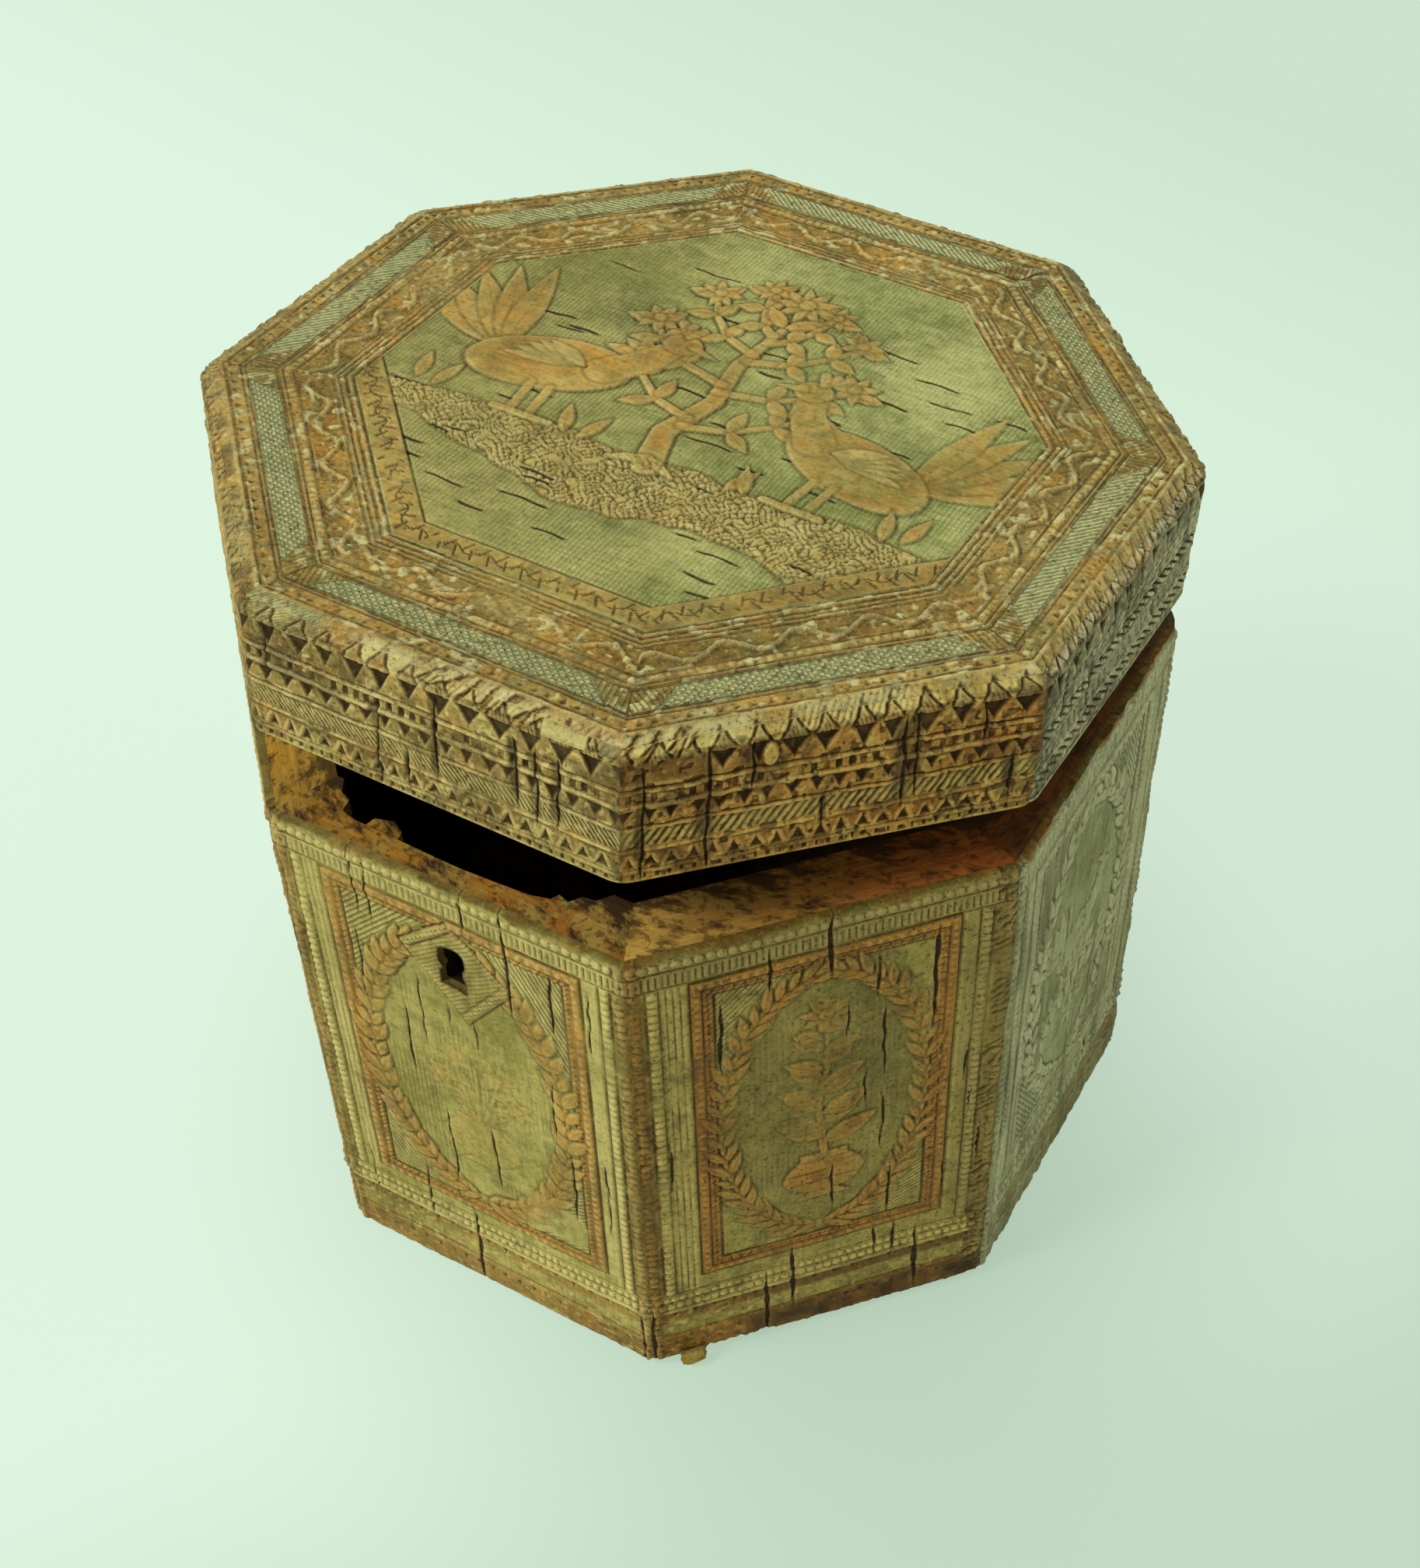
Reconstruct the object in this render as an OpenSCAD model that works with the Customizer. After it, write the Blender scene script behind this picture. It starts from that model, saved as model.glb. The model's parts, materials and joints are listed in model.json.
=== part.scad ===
// Octagonal trinket box of mitred boards, covered in carved birch bark.
// The lid turns on two iron butt hinges at the back and stands slightly ajar.
// The front wall holds an empty lock mortise, broken open at the top, and a keyhole.
// The box stands on z = 0, its front faces -Y, and the origin is the middle of its underside.

/* [Outline] */
// Width of the box from side face to side face
box_w = 160; // [140:1:180]
// Depth of the box from front face to back face
box_d = 162; // [142:1:182]
// Width of the front face and of the back face
front_w = 68.6; // [60:0.2:78]
// Width of the left face and of the right face
side_w = 64.4; // [56:0.2:74]
// Height of the body without its lid
body_h = 123; // [90:1:160]
// Height of the lid
lid_h = 26.5; // [22:0.5:36]
// Angle at which the lid stands ajar
ajar = 6; // [0:0.5:12]

/* [Boards and bark] */
// Thickness of the wall boards
wall_t = 10.8; // [9.6:0.2:14]
// Thickness of the rim boards of the lid
rim_t = 10.8; // [9.6:0.2:14]
// Thickness of the base board
base_t = 8; // [6:0.5:12]
// Thickness of the board on top of the lid
lid_board_t = 7; // [5:0.5:9]
// Thickness of the bark on the body
body_bark_t = 1.6; // [1:0.1:2.2]
// Thickness of the bark on the lid
lid_bark_t = 1.6; // [1:0.1:2.2]
// Radius worn on the edge of the foot
foot_r = 3.5; // [2.5:0.5:5]
// Width of the chamfer round the top of the lid
chamfer_w = 3.2; // [2:0.2:4.4]
// Height of the chamfer round the top of the lid
chamfer_h = 1.8; // [1:0.1:3]
// Distance of the bare stretch of the foot from the corner to its left
bare_foot_x = 10; // [7:1:16]
// Length of the foot where the bark has come away
bare_foot_w = 17; // [8:1:26]
// Height of the foot where the bark has come away
bare_foot_h = 3.2; // [2:0.2:5]

/* [Lock mortise] */
// Width of the mortise cut for the lock
lock_w = 42; // [34:1:46]
// Depth of the mortise, down from the top of the wall
lock_h = 34; // [30:1:44]
// Thickness of the front wall left before the mortise, with its bark
lock_skin = 5.2; // [4.4:0.2:6.4]
// Offset of the mortise's middle from the keyhole, to the right
lock_x = -3; // [-5:0.5:3]
// Depth to which the wood round the mortise is broken away
break_h = 9; // [5:0.5:14]
// Radius of the round head of the keyhole
keyhole_r = 2.6; // [2.2:0.1:3.2]
// Height of the keyhole
keyhole_h = 10.6; // [9:0.2:13]
// Distance from the top of the wall down to the keyhole
keyhole_drop = 15.6; // [13:0.2:17]
// Width of the shallow mortise in the lid that took the lock's striking plate
strike_w = 28; // [20:1:34]
// Depth of that mortise
strike_h = 1.6; // [1:0.2:3]

/* [Hinges] */
// Distance from each end of the back face to the hinge beside it
hinge_end = 7.3; // [6:0.1:10]
// Length of each hinge
hinge_len = 20; // [18:1:24]
// Width of a hinge leaf from the pin to its free edge
leaf_w = 8.4; // [7.4:0.2:8.8]
// Thickness of a hinge leaf, which lies on the wood
leaf_t = 1.1; // [0.8:0.1:1.3]
// Radius of the knuckles
knuckle_r = 2.1; // [1.8:0.1:2.2]
// Radius of the hinge pin
pin_r = 0.9; // [0.7:0.05:1.1]
// Length of the knuckle in the middle
mid_knuckle = 8; // [6:0.5:10]
// Distance of the pin from the back face, which is the width of the bevel behind it
bevel_w = 3.2; // [3:0.1:3.8]
// Slope of the bevels behind the pin, which stop the open lid
bevel_slope = 40; // [38:1:46]

/* [Nails] */
// Radius of the shank of a hinge nail
hinge_nail_r = 0.6; // [0.4:0.05:0.8]
// Length of a hinge nail
hinge_nail_len = 7.5; // [5:0.5:10]
// Radius of the shank of a board nail
board_nail_r = 0.9; // [0.7:0.05:1.2]
// Length of a board nail
board_nail_len = 20; // [15:0.5:24]

/* [Clearances] */
// Gap between the two leaves of a hinge when the lid is level
leaf_gap = 0.6; // [0.4:0.05:0.9]
// Gap round and between the knuckles
knuckle_gap = 0.3; // [0.2:0.05:0.4]
// Radial clearance of the pin in the knuckle that turns on it
pin_fit = 0.05; // [0.03:0.01:0.09]

/* [Hidden] */
$fn = 48;
cut = 1; // how far a cutting shape runs past the face that it cuts
// The eight faces, anticlockwise from the front: direction and distance of each from the middle
corner_x = front_w / 2;
corner_y = side_w / 2;
face_lean = atan2(box_w / 2 - corner_x, box_d / 2 - corner_y);
lean_d = corner_x * cos(face_lean) + box_d / 2 * sin(face_lean);
face_turn = [-90, -face_lean, 0, face_lean, 90, 180 - face_lean, 180, 180 + face_lean];
face_d = [box_d / 2, lean_d, box_w / 2, lean_d, box_d / 2, lean_d, box_w / 2, lean_d];
lean_w = norm([box_w / 2 - corner_x, box_d / 2 - corner_y]);
face_w = [front_w, lean_w, side_w, lean_w, front_w, lean_w, side_w, lean_w];
FACES = ["front", "front_right", "right", "back_right", "back", "back_left", "left", "front_left"];

lid_gap = 2 * leaf_t + leaf_gap;
pin_y = box_d / 2 - bevel_w;
pin_z = body_h + lid_gap / 2;
rim_h = lid_h - lid_bark_t - lid_board_t;
gain_r = knuckle_r + knuckle_gap;
hinge_xs = [for (s = [-1, 1]) s * (corner_x - hinge_end - hinge_len / 2)];
leaf_nail_xs = [-hinge_len / 3, 0, hinge_len / 3];
leaf_nail_in = leaf_w - 2.6;
hinge_head_r = 1.5;
hinge_head_t = 0.5;
board_head_r = 2;
board_head_t = 0.8;
board_nail_spread = 0.28;

// Corner between face k and the next one, on the outline that lies inset inside the box
function corner(k, inset) = let (a = face_turn[k % 8], b = face_turn[(k + 1) % 8],
    p = face_d[k % 8] - inset, q = face_d[(k + 1) % 8] - inset)
    [p * sin(b) - q * sin(a), q * cos(a) - p * cos(b)] / sin(b - a);
function outline(inset) = [for (k = [0 : 7]) corner(k, inset)];
// Plan of the board on face k, between two insets, with mitred ends
function board_plan(k, outer, inner) =
    [corner(k + 7, outer), corner(k, outer), corner(k, inner), corner(k + 7, inner)];
function arc(centre, r, from, to, steps) =
    [for (i = [0 : steps]) centre + r * [cos(from + (to - from) * i / steps), sin(from + (to - from) * i / steps)]];

module prism(plan, z0, z1) {
    translate([0, 0, z0]) linear_extrude(z1 - z0) polygon(plan);
}

// Puts a child on face k: its X runs along the face, and its +Y goes into the wood
module on_face(k) {
    rotate([0, 0, face_turn[k] + 90]) translate([0, -face_d[k], 0]) children();
}

// Runs a profile of (depth into the wood, height) along face k
module run_along(k, profile) {
    on_face(k) rotate([90, 0, 90]) linear_extrude(face_w[k] + 2 * foot_r, center = true) polygon(profile);
}

// Turns a child made for the level lid, with the rim at z = 0, up to where the lid stands
module on_lid() {
    translate([0, pin_y, pin_z]) rotate([-ajar, 0, 0])
        translate([0, -pin_y, body_h + lid_gap - pin_z]) children();
}

// What is worn off the edge of the foot along face k
module foot_wear(k) {
    run_along(k, concat([[-cut, -cut], [foot_r, -cut]],
        arc([foot_r, foot_r], foot_r, 270, 180, 6), [[-cut, foot_r]]));
}

// What the chamfer takes off the top edge of the lid along face k
module chamfer_waste(k) {
    run_along(k, [[-cut, lid_h - chamfer_h], [0, lid_h - chamfer_h], [chamfer_w, lid_h],
        [chamfer_w, lid_h + cut], [-cut, lid_h + cut]]);
}

// What the bevel behind the hinge pin takes off an edge at height z, on the body or, up = 1, on the lid
module bevel_waste(z, up) {
    drop = (bevel_w + cut) * tan(bevel_slope);
    run_along(4, [[bevel_w, z - up * cut], [bevel_w, z], [-cut, z + up * drop], [-cut, z - up * cut]]);
}

// Round gains in the wood for the knuckles of both hinges
module hinge_gains(axis_z) {
    for (x = hinge_xs) barrel(axis_z, x, hinge_len + 2 * knuckle_gap, gain_r);
}

// A nail whose head starts at z = 0 and whose shank points up
module nail(shank_r, head_r, head_t, len) {
    cylinder(r = head_r, h = head_t);
    cylinder(r = shank_r, h = len);
}

module hinge_nail_set() {
    for (x = hinge_xs, dx = leaf_nail_xs)
        translate([x + dx, pin_y - leaf_nail_in, 0])
            nail(hinge_nail_r, hinge_head_r, hinge_head_t, hinge_nail_len);
}

module body_hinge_nail_set() {
    translate([0, 0, body_h + leaf_t]) mirror([0, 0, 1]) hinge_nail_set();
}

module lid_hinge_nail_set() {
    translate([0, 0, -leaf_t]) hinge_nail_set();
}

module board_nail_set(board_t) {
    for (k = [0 : 7], s = [-1, 1])
        on_face(k) translate([s * board_nail_spread * face_w[k], board_t, 0])
            nail(board_nail_r, board_head_r, board_head_t, board_nail_len);
}

module base_nail_set() {
    board_nail_set(body_bark_t + wall_t / 2);
}

module lid_nail_set() {
    translate([0, 0, lid_h - lid_bark_t]) mirror([0, 0, 1]) board_nail_set(lid_bark_t + rim_t / 2);
}

module keyhole_cut() {
    head_z = body_h - keyhole_drop - keyhole_r;
    foot_z = body_h - keyhole_drop - keyhole_h;
    on_face(0) translate([0, -cut, 0]) rotate([90, 0, 0]) mirror([0, 0, 1])
        linear_extrude(lock_skin + 3 * cut) {
            translate([0, head_z]) circle(keyhole_r);
            polygon([[-keyhole_r * 0.9, head_z], [keyhole_r * 0.9, head_z],
                [keyhole_r, foot_z], [-keyhole_r * 1.1, foot_z + 0.4]]);
        }
}

// The lock's mortise, and the jagged break round its mouth
module lock_mortise() {
    left = lock_x - lock_w / 2;
    right = lock_x + lock_w / 2;
    back = body_bark_t + wall_t + cut;
    break_line = [[left - 4, back], [left - 2.2, back - 3.6], [left, back - 4.4], [left + 0.4, lock_skin + 1.2],
        [left + 3.6, lock_skin + 0.5], [left + 12, lock_skin + 0.3], [left + 18, lock_skin + 0.1],
        [left + 24, lock_skin], [right - 11, lock_skin + 0.3], [right - 4.6, lock_skin + 0.7],
        [right - 1.2, lock_skin + 1.6], [right - 0.4, lock_skin + 3], [right + 1.6, lock_skin + 2.4],
        [right + 3, lock_skin + 4.4], [right + 5.4, lock_skin + 4.8], [right + 8, back]];
    on_face(0) {
        translate([left, lock_skin, body_h - lock_h]) cube([lock_w, back - lock_skin, lock_h - break_h / 2]);
        translate([0, 0, body_h - break_h]) linear_extrude(break_h + cut) polygon(break_line);
    }
}

// A splinter left standing in the broken mouth of the mortise
module splinter() {
    left = lock_x - lock_w / 2 + 4.6;
    on_face(0) translate([0, 0, body_h - lock_h]) linear_extrude(lock_h - 1)
        polygon([[left, lock_skin - 0.4], [left + 0.9, lock_skin + 3], [left + 4.2, lock_skin + 4],
            [left + 6.6, lock_skin + 2.6], [left + 7.2, lock_skin - 0.4]]);
}

module wall(k) {
    color("peru") difference() {
        union() {
            difference() {
                prism(board_plan(k, body_bark_t, body_bark_t + wall_t), base_t, body_h);
                if (k == 0) lock_mortise();
            }
            if (k == 0) splinter();
        }
        if (k == 0) keyhole_cut();
        if (k > 2 && k < 6) bevel_waste(body_h, -1);
        if (k == 4) {
            hinge_gains(pin_z);
            body_hinge_nail_set();
        }
        base_nail_set();
    }
}

module body_bark(k) {
    color("darkkhaki") difference() {
        prism(board_plan(k, 0, body_bark_t), 0, body_h);
        foot_wear(k);
        if (k == 0) keyhole_cut();
        if (k == 1) bare_foot();
        if (k > 2 && k < 6) bevel_waste(body_h, -1);
        if (k == 4) hinge_gains(pin_z);
    }
}

// The stretch of the foot that has lost its bark
module bare_foot() {
    on_face(1) translate([bare_foot_x - face_w[1] / 2, -cut, -cut])
        cube([bare_foot_w, body_bark_t + cut, bare_foot_h + cut]);
}

module base_board() {
    color("sienna") difference() {
        prism(outline(body_bark_t), 0, base_t);
        for (k = [0 : 7]) foot_wear(k);
        base_nail_set();
    }
}

module lid_rim(k) {
    color("peru") difference() {
        on_lid() prism(board_plan(k, lid_bark_t, lid_bark_t + rim_t), 0, rim_h);
        on_lid() {
            if (k == 0) strike_mortise();
            if (k > 2 && k < 6) bevel_waste(0, 1);
            if (k == 4) {
                hinge_gains(-lid_gap / 2);
                lid_hinge_nail_set();
            }
            lid_nail_set();
        }
    }
}

module strike_mortise() {
    on_face(0) translate([lock_x - strike_w / 2, lock_skin, -cut])
        cube([strike_w, lid_bark_t + rim_t - lock_skin - 1.6, strike_h + cut]);
}

module lid_bark(k) {
    color("darkgoldenrod") on_lid() difference() {
        prism(board_plan(k, 0, lid_bark_t), 0, lid_h);
        chamfer_waste(k);
        if (k > 2 && k < 6) bevel_waste(0, 1);
        if (k == 4) hinge_gains(-lid_gap / 2);
    }
}

module lid_board() {
    color("sienna") on_lid() difference() {
        prism(outline(lid_bark_t), rim_h, rim_h + lid_board_t);
        for (k = [0 : 7]) chamfer_waste(k);
        lid_nail_set();
    }
}

module lid_bark_top() {
    color("darkkhaki") on_lid() difference() {
        prism(outline(lid_bark_t), lid_h - lid_bark_t, lid_h);
        for (k = [0 : 7]) chamfer_waste(k);
    }
}

// A leaf whose plate fills z0 to z1, with knuckles on the stretches listed as [middle, length]
module hinge_leaf(axis_z, z0, z1, knuckles, clear_of, bore_r) {
    difference() {
        union() {
            difference() {
                translate([-hinge_len / 2, pin_y - leaf_w, z0]) cube([hinge_len, leaf_w, z1 - z0]);
                for (c = clear_of) barrel(axis_z, c[0], c[1] + 2 * knuckle_gap, gain_r);
            }
            for (c = knuckles) barrel(axis_z, c[0], c[1], knuckle_r);
        }
        barrel(axis_z, 0, hinge_len + 2 * cut, bore_r);
    }
}

module barrel(axis_z, x, len, r) {
    translate([x, pin_y, axis_z]) rotate([0, 90, 0]) cylinder(r = r, h = len, center = true);
}

end_knuckle = (hinge_len - mid_knuckle) / 2 - knuckle_gap;
end_knuckles = [for (s = [-1, 1]) [s * (hinge_len - end_knuckle) / 2, end_knuckle]];
mid_knuckles = [[0, mid_knuckle]];

module body_hinge_leaf(x) {
    color("dimgray") difference() {
        translate([x, 0, 0]) hinge_leaf(pin_z, body_h, body_h + leaf_t, end_knuckles, mid_knuckles, pin_r);
        body_hinge_nail_set();
    }
}

module lid_hinge_leaf(x) {
    color("dimgray") on_lid() difference() {
        translate([x, 0, 0]) hinge_leaf(-lid_gap / 2, -leaf_t, 0, mid_knuckles, end_knuckles, pin_r + pin_fit);
        lid_hinge_nail_set();
    }
}

module hinge_pin(x) {
    color("slategray") translate([x, 0, 0]) barrel(pin_z, 0, hinge_len, pin_r);
}

module base_nails() {
    color("dimgray") base_nail_set();
}

module body_hinge_nails() {
    color("dimgray") body_hinge_nail_set();
}

module lid_nails() {
    color("dimgray") on_lid() lid_nail_set();
}

module lid_hinge_nails() {
    color("dimgray") on_lid() lid_hinge_nail_set();
}

base_board();
for (k = [0 : 7]) {
    wall(k);
    body_bark(k);
    lid_rim(k);
    lid_bark(k);
}
base_nails();
body_hinge_leaf(hinge_xs[0]);  // body_hinge_leaf_left
body_hinge_leaf(hinge_xs[1]);  // body_hinge_leaf_right
hinge_pin(hinge_xs[0]);  // hinge_pin_left
hinge_pin(hinge_xs[1]);  // hinge_pin_right
body_hinge_nails();
lid_board();
lid_bark_top();
lid_nails();
lid_hinge_leaf(hinge_xs[0]);  // lid_hinge_leaf_left
lid_hinge_leaf(hinge_xs[1]);  // lid_hinge_leaf_right
lid_hinge_nails();
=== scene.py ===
# Octagonal trinket box covered in carved birch bark, its lid standing ajar on two iron hinges.
# Lengths are in millimetres until a mesh is made, and metres from there on.
import json
import math
import bmesh
import bpy
import numpy as np
from mathutils import Matrix, Vector


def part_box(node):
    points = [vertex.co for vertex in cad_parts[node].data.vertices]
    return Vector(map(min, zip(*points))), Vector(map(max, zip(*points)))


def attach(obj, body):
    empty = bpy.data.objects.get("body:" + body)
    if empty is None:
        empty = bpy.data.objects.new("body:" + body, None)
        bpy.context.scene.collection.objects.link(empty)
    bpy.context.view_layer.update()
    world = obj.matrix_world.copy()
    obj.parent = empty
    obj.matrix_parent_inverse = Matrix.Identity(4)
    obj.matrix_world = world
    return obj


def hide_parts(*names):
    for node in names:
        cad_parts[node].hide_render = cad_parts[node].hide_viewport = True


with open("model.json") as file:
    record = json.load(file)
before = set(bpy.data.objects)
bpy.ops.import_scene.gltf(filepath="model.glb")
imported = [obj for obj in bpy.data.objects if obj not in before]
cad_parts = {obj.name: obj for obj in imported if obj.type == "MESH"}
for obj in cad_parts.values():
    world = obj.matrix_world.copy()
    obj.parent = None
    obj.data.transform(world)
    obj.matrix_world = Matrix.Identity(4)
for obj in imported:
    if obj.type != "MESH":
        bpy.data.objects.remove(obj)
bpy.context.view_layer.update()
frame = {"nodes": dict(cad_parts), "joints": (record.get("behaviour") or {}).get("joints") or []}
mm = 0.001

# Sizes read from the frame
frontLow, frontHigh = (np.array(c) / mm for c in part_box("bark_front"))
rightHigh = np.array(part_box("bark_right")[1]) / mm
pinPlace = np.array(frame["joints"][0]["pos_m"]) / mm
outline = dict(halfWidth=rightHigh[0], halfDepth=-frontLow[1], cornerX=frontHigh[0], cornerY=rightHigh[1])
body = dict(height=frontHigh[2], bark=1.6, barkFoot=0.56, footRadius=3.5, wear=0.55, wearReach=3.0,
            bevelSlope=40)
lid = dict(height=26.5, bark=1.6, ajar=6.0, chamferWidth=3.2, chamferHeight=1.8, wear=0.8, wearReach=2.2)
lid["crease"] = lid["height"] - lid["chamferHeight"]
lid["gap"] = 2 * (pinPlace[2] - body["height"])

# The eight faces, anticlockwise from the front: name, start, width, directions along and out, distance
faceNames = ["front", "front_right", "right", "back_right", "back", "back_left", "left", "front_left"]
quarter = np.array([(outline["cornerX"], -outline["halfDepth"]), (outline["halfWidth"], -outline["cornerY"])])
starts = np.concatenate([quarter, quarter[::-1] * (1, -1), -quarter, quarter[::-1] * (-1, 1)])
starts = np.roll(starts, 1, axis=0)
alongs = np.roll(starts, -1, axis=0) - starts
widths = np.hypot(*alongs.T)
alongs = alongs / widths[:, None]
normals = np.stack([alongs[:, 1], -alongs[:, 0]], 1)
distances = np.sum(starts * normals, 1)
turns = np.arctan2(normals[:, 1], normals[:, 0])


def mitreTan(k):
    # tangent of half the angle that the outline turns between face k - 1 and face k
    turn = (turns[k % 8] - turns[(k - 1) % 8]) % (2 * math.pi)
    return math.tan(turn / 2)


def faceEnds(k, inset):
    # where face k starts and ends, seen from outside, on the outline that lies inset inside the box
    left = starts[k] @ alongs[k]
    return left + inset * mitreTan(k), left + widths[k] - inset * mitreTan(k + 1)


def onFace(k, share, inset, z):
    # points on face k: share runs from its left end, 0, to its right end, 1, seen from outside
    left, right = faceEnds(k, inset)
    x = left + (right - left) * share
    flat = normals[k] * (distances[k] - inset)[..., None] + alongs[k] * x[..., None]
    return np.concatenate([flat, z[..., None]], -1)


def onLid(points):
    # turns points of the level lid, whose rim is at z = 0, about the hinge pin to where the lid stands
    a = math.radians(lid["ajar"])
    y = points[..., 1] - pinPlace[1]
    z = points[..., 2] + lid["gap"] / 2
    turned = [points[..., 0], pinPlace[1] + y * math.cos(a) + z * math.sin(a),
              pinPlace[2] - y * math.sin(a) + z * math.cos(a)]
    return np.stack(turned, -1)


def smooth(low, high, value):
    t = np.clip((value - low) / (high - low), 0, 1)
    return t * t * (3 - 2 * t)


def between(value, start, full, fading, end):
    # rises from 0 at start to 1 at full, and falls from 1 at fading to 0 at end
    return smooth(start, full, value) * smooth(end, fading, value)


def cloud(x, y, size, seed):
    # soft field from -1 to 1: a scrambled number at each crossing of a square grid, blended between
    ix, iy = np.floor(x / size), np.floor(y / size)
    fx, fy = smooth(0, 1, x / size - ix), smooth(0, 1, y / size - iy)

    def crossing(dx, dy):
        mixed = np.sin((ix + dx) * 12.9898 + (iy + dy) * 78.233 + seed * 37.719) * 43758.5453
        return (mixed - np.floor(mixed)) * 2 - 1
    top = crossing(0, 0) * (1 - fx) + crossing(1, 0) * fx
    low = crossing(0, 1) * (1 - fx) + crossing(1, 1) * fx
    return top * (1 - fy) + low * fy


def scrambled(number, seed):
    # a fixed value from -1 to 1 for each whole number
    mixed = np.sin(number * 12.9898 + seed * 78.233 + 1.3) * 43758.5453
    return (mixed - np.floor(mixed)) * 2 - 1


def blurred(field, cells):
    # mean over a square window, by running sums
    for axis in (0, 1):
        pads = [(cells + 1, cells) if i == axis else (0, 0) for i in (0, 1)]
        sums = np.cumsum(np.pad(field, pads, mode="edge"), axis=axis)
        window = 2 * cells + 1
        high = np.take(sums, range(window, sums.shape[axis]), axis=axis)
        low = np.take(sums, range(0, sums.shape[axis] - window), axis=axis)
        field = (high - low) / window
    return field


def repeats(along, pitch, slip=0.0, seed=0):
    # which repeat each place is in, and how far it lies from the repeat's middle, which slip moves a little
    n = np.floor(along / pitch)
    return n, along - (n + 0.5) * pitch - slip * scrambled(n, seed)


class Carving:
    # Height, stains and hatching of one sheet of bark, on its grid of places x and y in millimetres
    def __init__(self, x, y):
        self.x, self.y = x, y
        self.height = np.zeros_like(x)
        self.stain = {name: np.zeros_like(x) for name in ("orange", "brown", "pale", "dark")}
        self.phaseA, self.phaseB = np.zeros_like(x), np.zeros_like(x)
        self.maskA, self.maskB = np.zeros_like(x), np.zeros_like(x)
        # half the width of a crack, below 0 where there is none, and how much of the face's tint shows
        self.line = np.full_like(x, -1.0)
        self.tint = np.ones_like(x)
        # orange, brown, pale and dark of the cut edges and the back
        self.edge = (0.15, 0.75, 0.0, 0.4)

    def slit(self, half, depth):
        # a dark crack, open where half is above 0: half its width there, in millimetres
        self.line = np.maximum(self.line, half)
        self.height -= depth * smooth(-0.3, 0.1, half)

    def paint(self, name, cover, amount=1.0):
        self.stain[name] = np.maximum(self.stain[name], np.clip(cover, 0, 1) * amount)

    def wipe(self, name, cover):
        self.stain[name] = self.stain[name] * (1 - np.clip(cover, 0, 1))

    def groove(self, distance, width, depth):
        # V-shaped cut, deepest where distance is 0
        self.height -= depth * np.clip(1 - np.abs(distance) / width, 0, 1)

    def ridge(self, distance, width, rise):
        self.height += rise * np.clip(1 - (distance / width) ** 2, 0, 1)

    def raiseForm(self, distance, rise, edge=0.5, name="orange", amount=1.0):
        # a form whose rim is where distance is 0 and whose inside has distance below 0
        cover = smooth(edge / 2, -edge / 2, distance)
        self.outline(distance)
        self.height = self.height * (1 - cover) + np.maximum(self.height, rise) * cover
        self.wipe("dark", cover)
        self.paint(name, cover, amount)
        self.calm(cover)

    def outline(self, distance):
        # the ground is cut away and dark close to a form
        near = smooth(0.9, 0.15, distance) * (distance > -0.3)
        self.height -= 0.14 * near
        self.paint("dark", near, 0.34)

    def calm(self, cover):
        # no hatching where a form stands
        self.maskA, self.maskB = self.maskA * (1 - cover), self.maskB * (1 - cover)

    def beads(self, along, across, pitch, radius, rise, cover=1.0):
        near = (along / pitch) % 1 * pitch - pitch / 2
        dome = np.clip(1 - (near ** 2 + across ** 2) / radius ** 2, 0, 1)
        self.height += rise * np.sqrt(dome) * cover

    def ticks(self, along, across, half, pitch, width, depth, cover=1.0):
        # short cuts side by side across a band of that half width
        near = np.abs((along / pitch) % 1 - 0.5) * pitch
        line = np.clip(1 - near / width, 0, 1) * smooth(half + 0.2, half - 0.2, np.abs(across))
        self.height -= depth * line * cover

    def notches(self, along, down, pitch, base, tip, half, depth, seed=0, cover=1.0):
        # chip-carved triangles, each a little off: flat side at base, point at tip, steep walls, flat floor
        n, u = repeats(along, pitch, 0.09 * pitch, seed)
        share = (down - base) / ((tip - base) * (1 + 0.1 * scrambled(n, seed + 1)))
        side = half * (1 + 0.14 * scrambled(n, seed + 2)) * (1 - share) - np.abs(u)
        deep = smooth(0, 0.5, np.minimum(side * 0.9, share * abs(tip - base))) * (share > 0)
        self.height -= depth * (0.8 + 0.2 * scrambled(n, seed + 3)) * deep * cover
        return deep * cover, side

    def weather(self, size, seed, least, fade=0.4):
        # rubbing has lowered the carving in patches, down to that least share, and faded its stains
        field = cloud(self.x, self.y, size, seed) + 0.5 * cloud(self.x, self.y, size / 3.1, seed + 1)
        keep = least + (1 - least) * smooth(-0.55, 0.35, field)
        self.height *= keep
        for name in ("orange", "pale"):
            self.stain[name] = self.stain[name] * (1 - fade * (1 - keep))

    def fadeTo(self, orange, brown, pale):
        # how much of each stain is left, and how much orange has turned pale
        s = self.stain
        s["pale"] = np.maximum(s["pale"], s["orange"] * pale)
        s["orange"], s["brown"] = s["orange"] * orange, s["brown"] * brown

    def keepStains(self, stains, share):
        # what was stained since then is left to that share
        self.stain = {name: stains[name] + (self.stain[name] - stains[name]) * share for name in stains}

    def hatch(self, cover, angle, pitch, crossAngle=None):
        # fine parallel cuts, drawn by the material: where they run and how far along their count is
        c = np.clip(cover, 0, 1)
        here = c > 0.02
        a = math.radians(angle)
        count = (self.x * math.sin(a) + self.y * math.cos(a)) / pitch
        self.phaseA = np.where(here, count, self.phaseA)
        self.maskA = np.where(here, c, self.maskA)
        if crossAngle is not None:
            b = math.radians(crossAngle)
            self.phaseB = np.where(here, (self.x * math.sin(b) + self.y * math.cos(b)) / pitch, self.phaseB)
            self.maskB = np.where(here, c, self.maskB)


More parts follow.
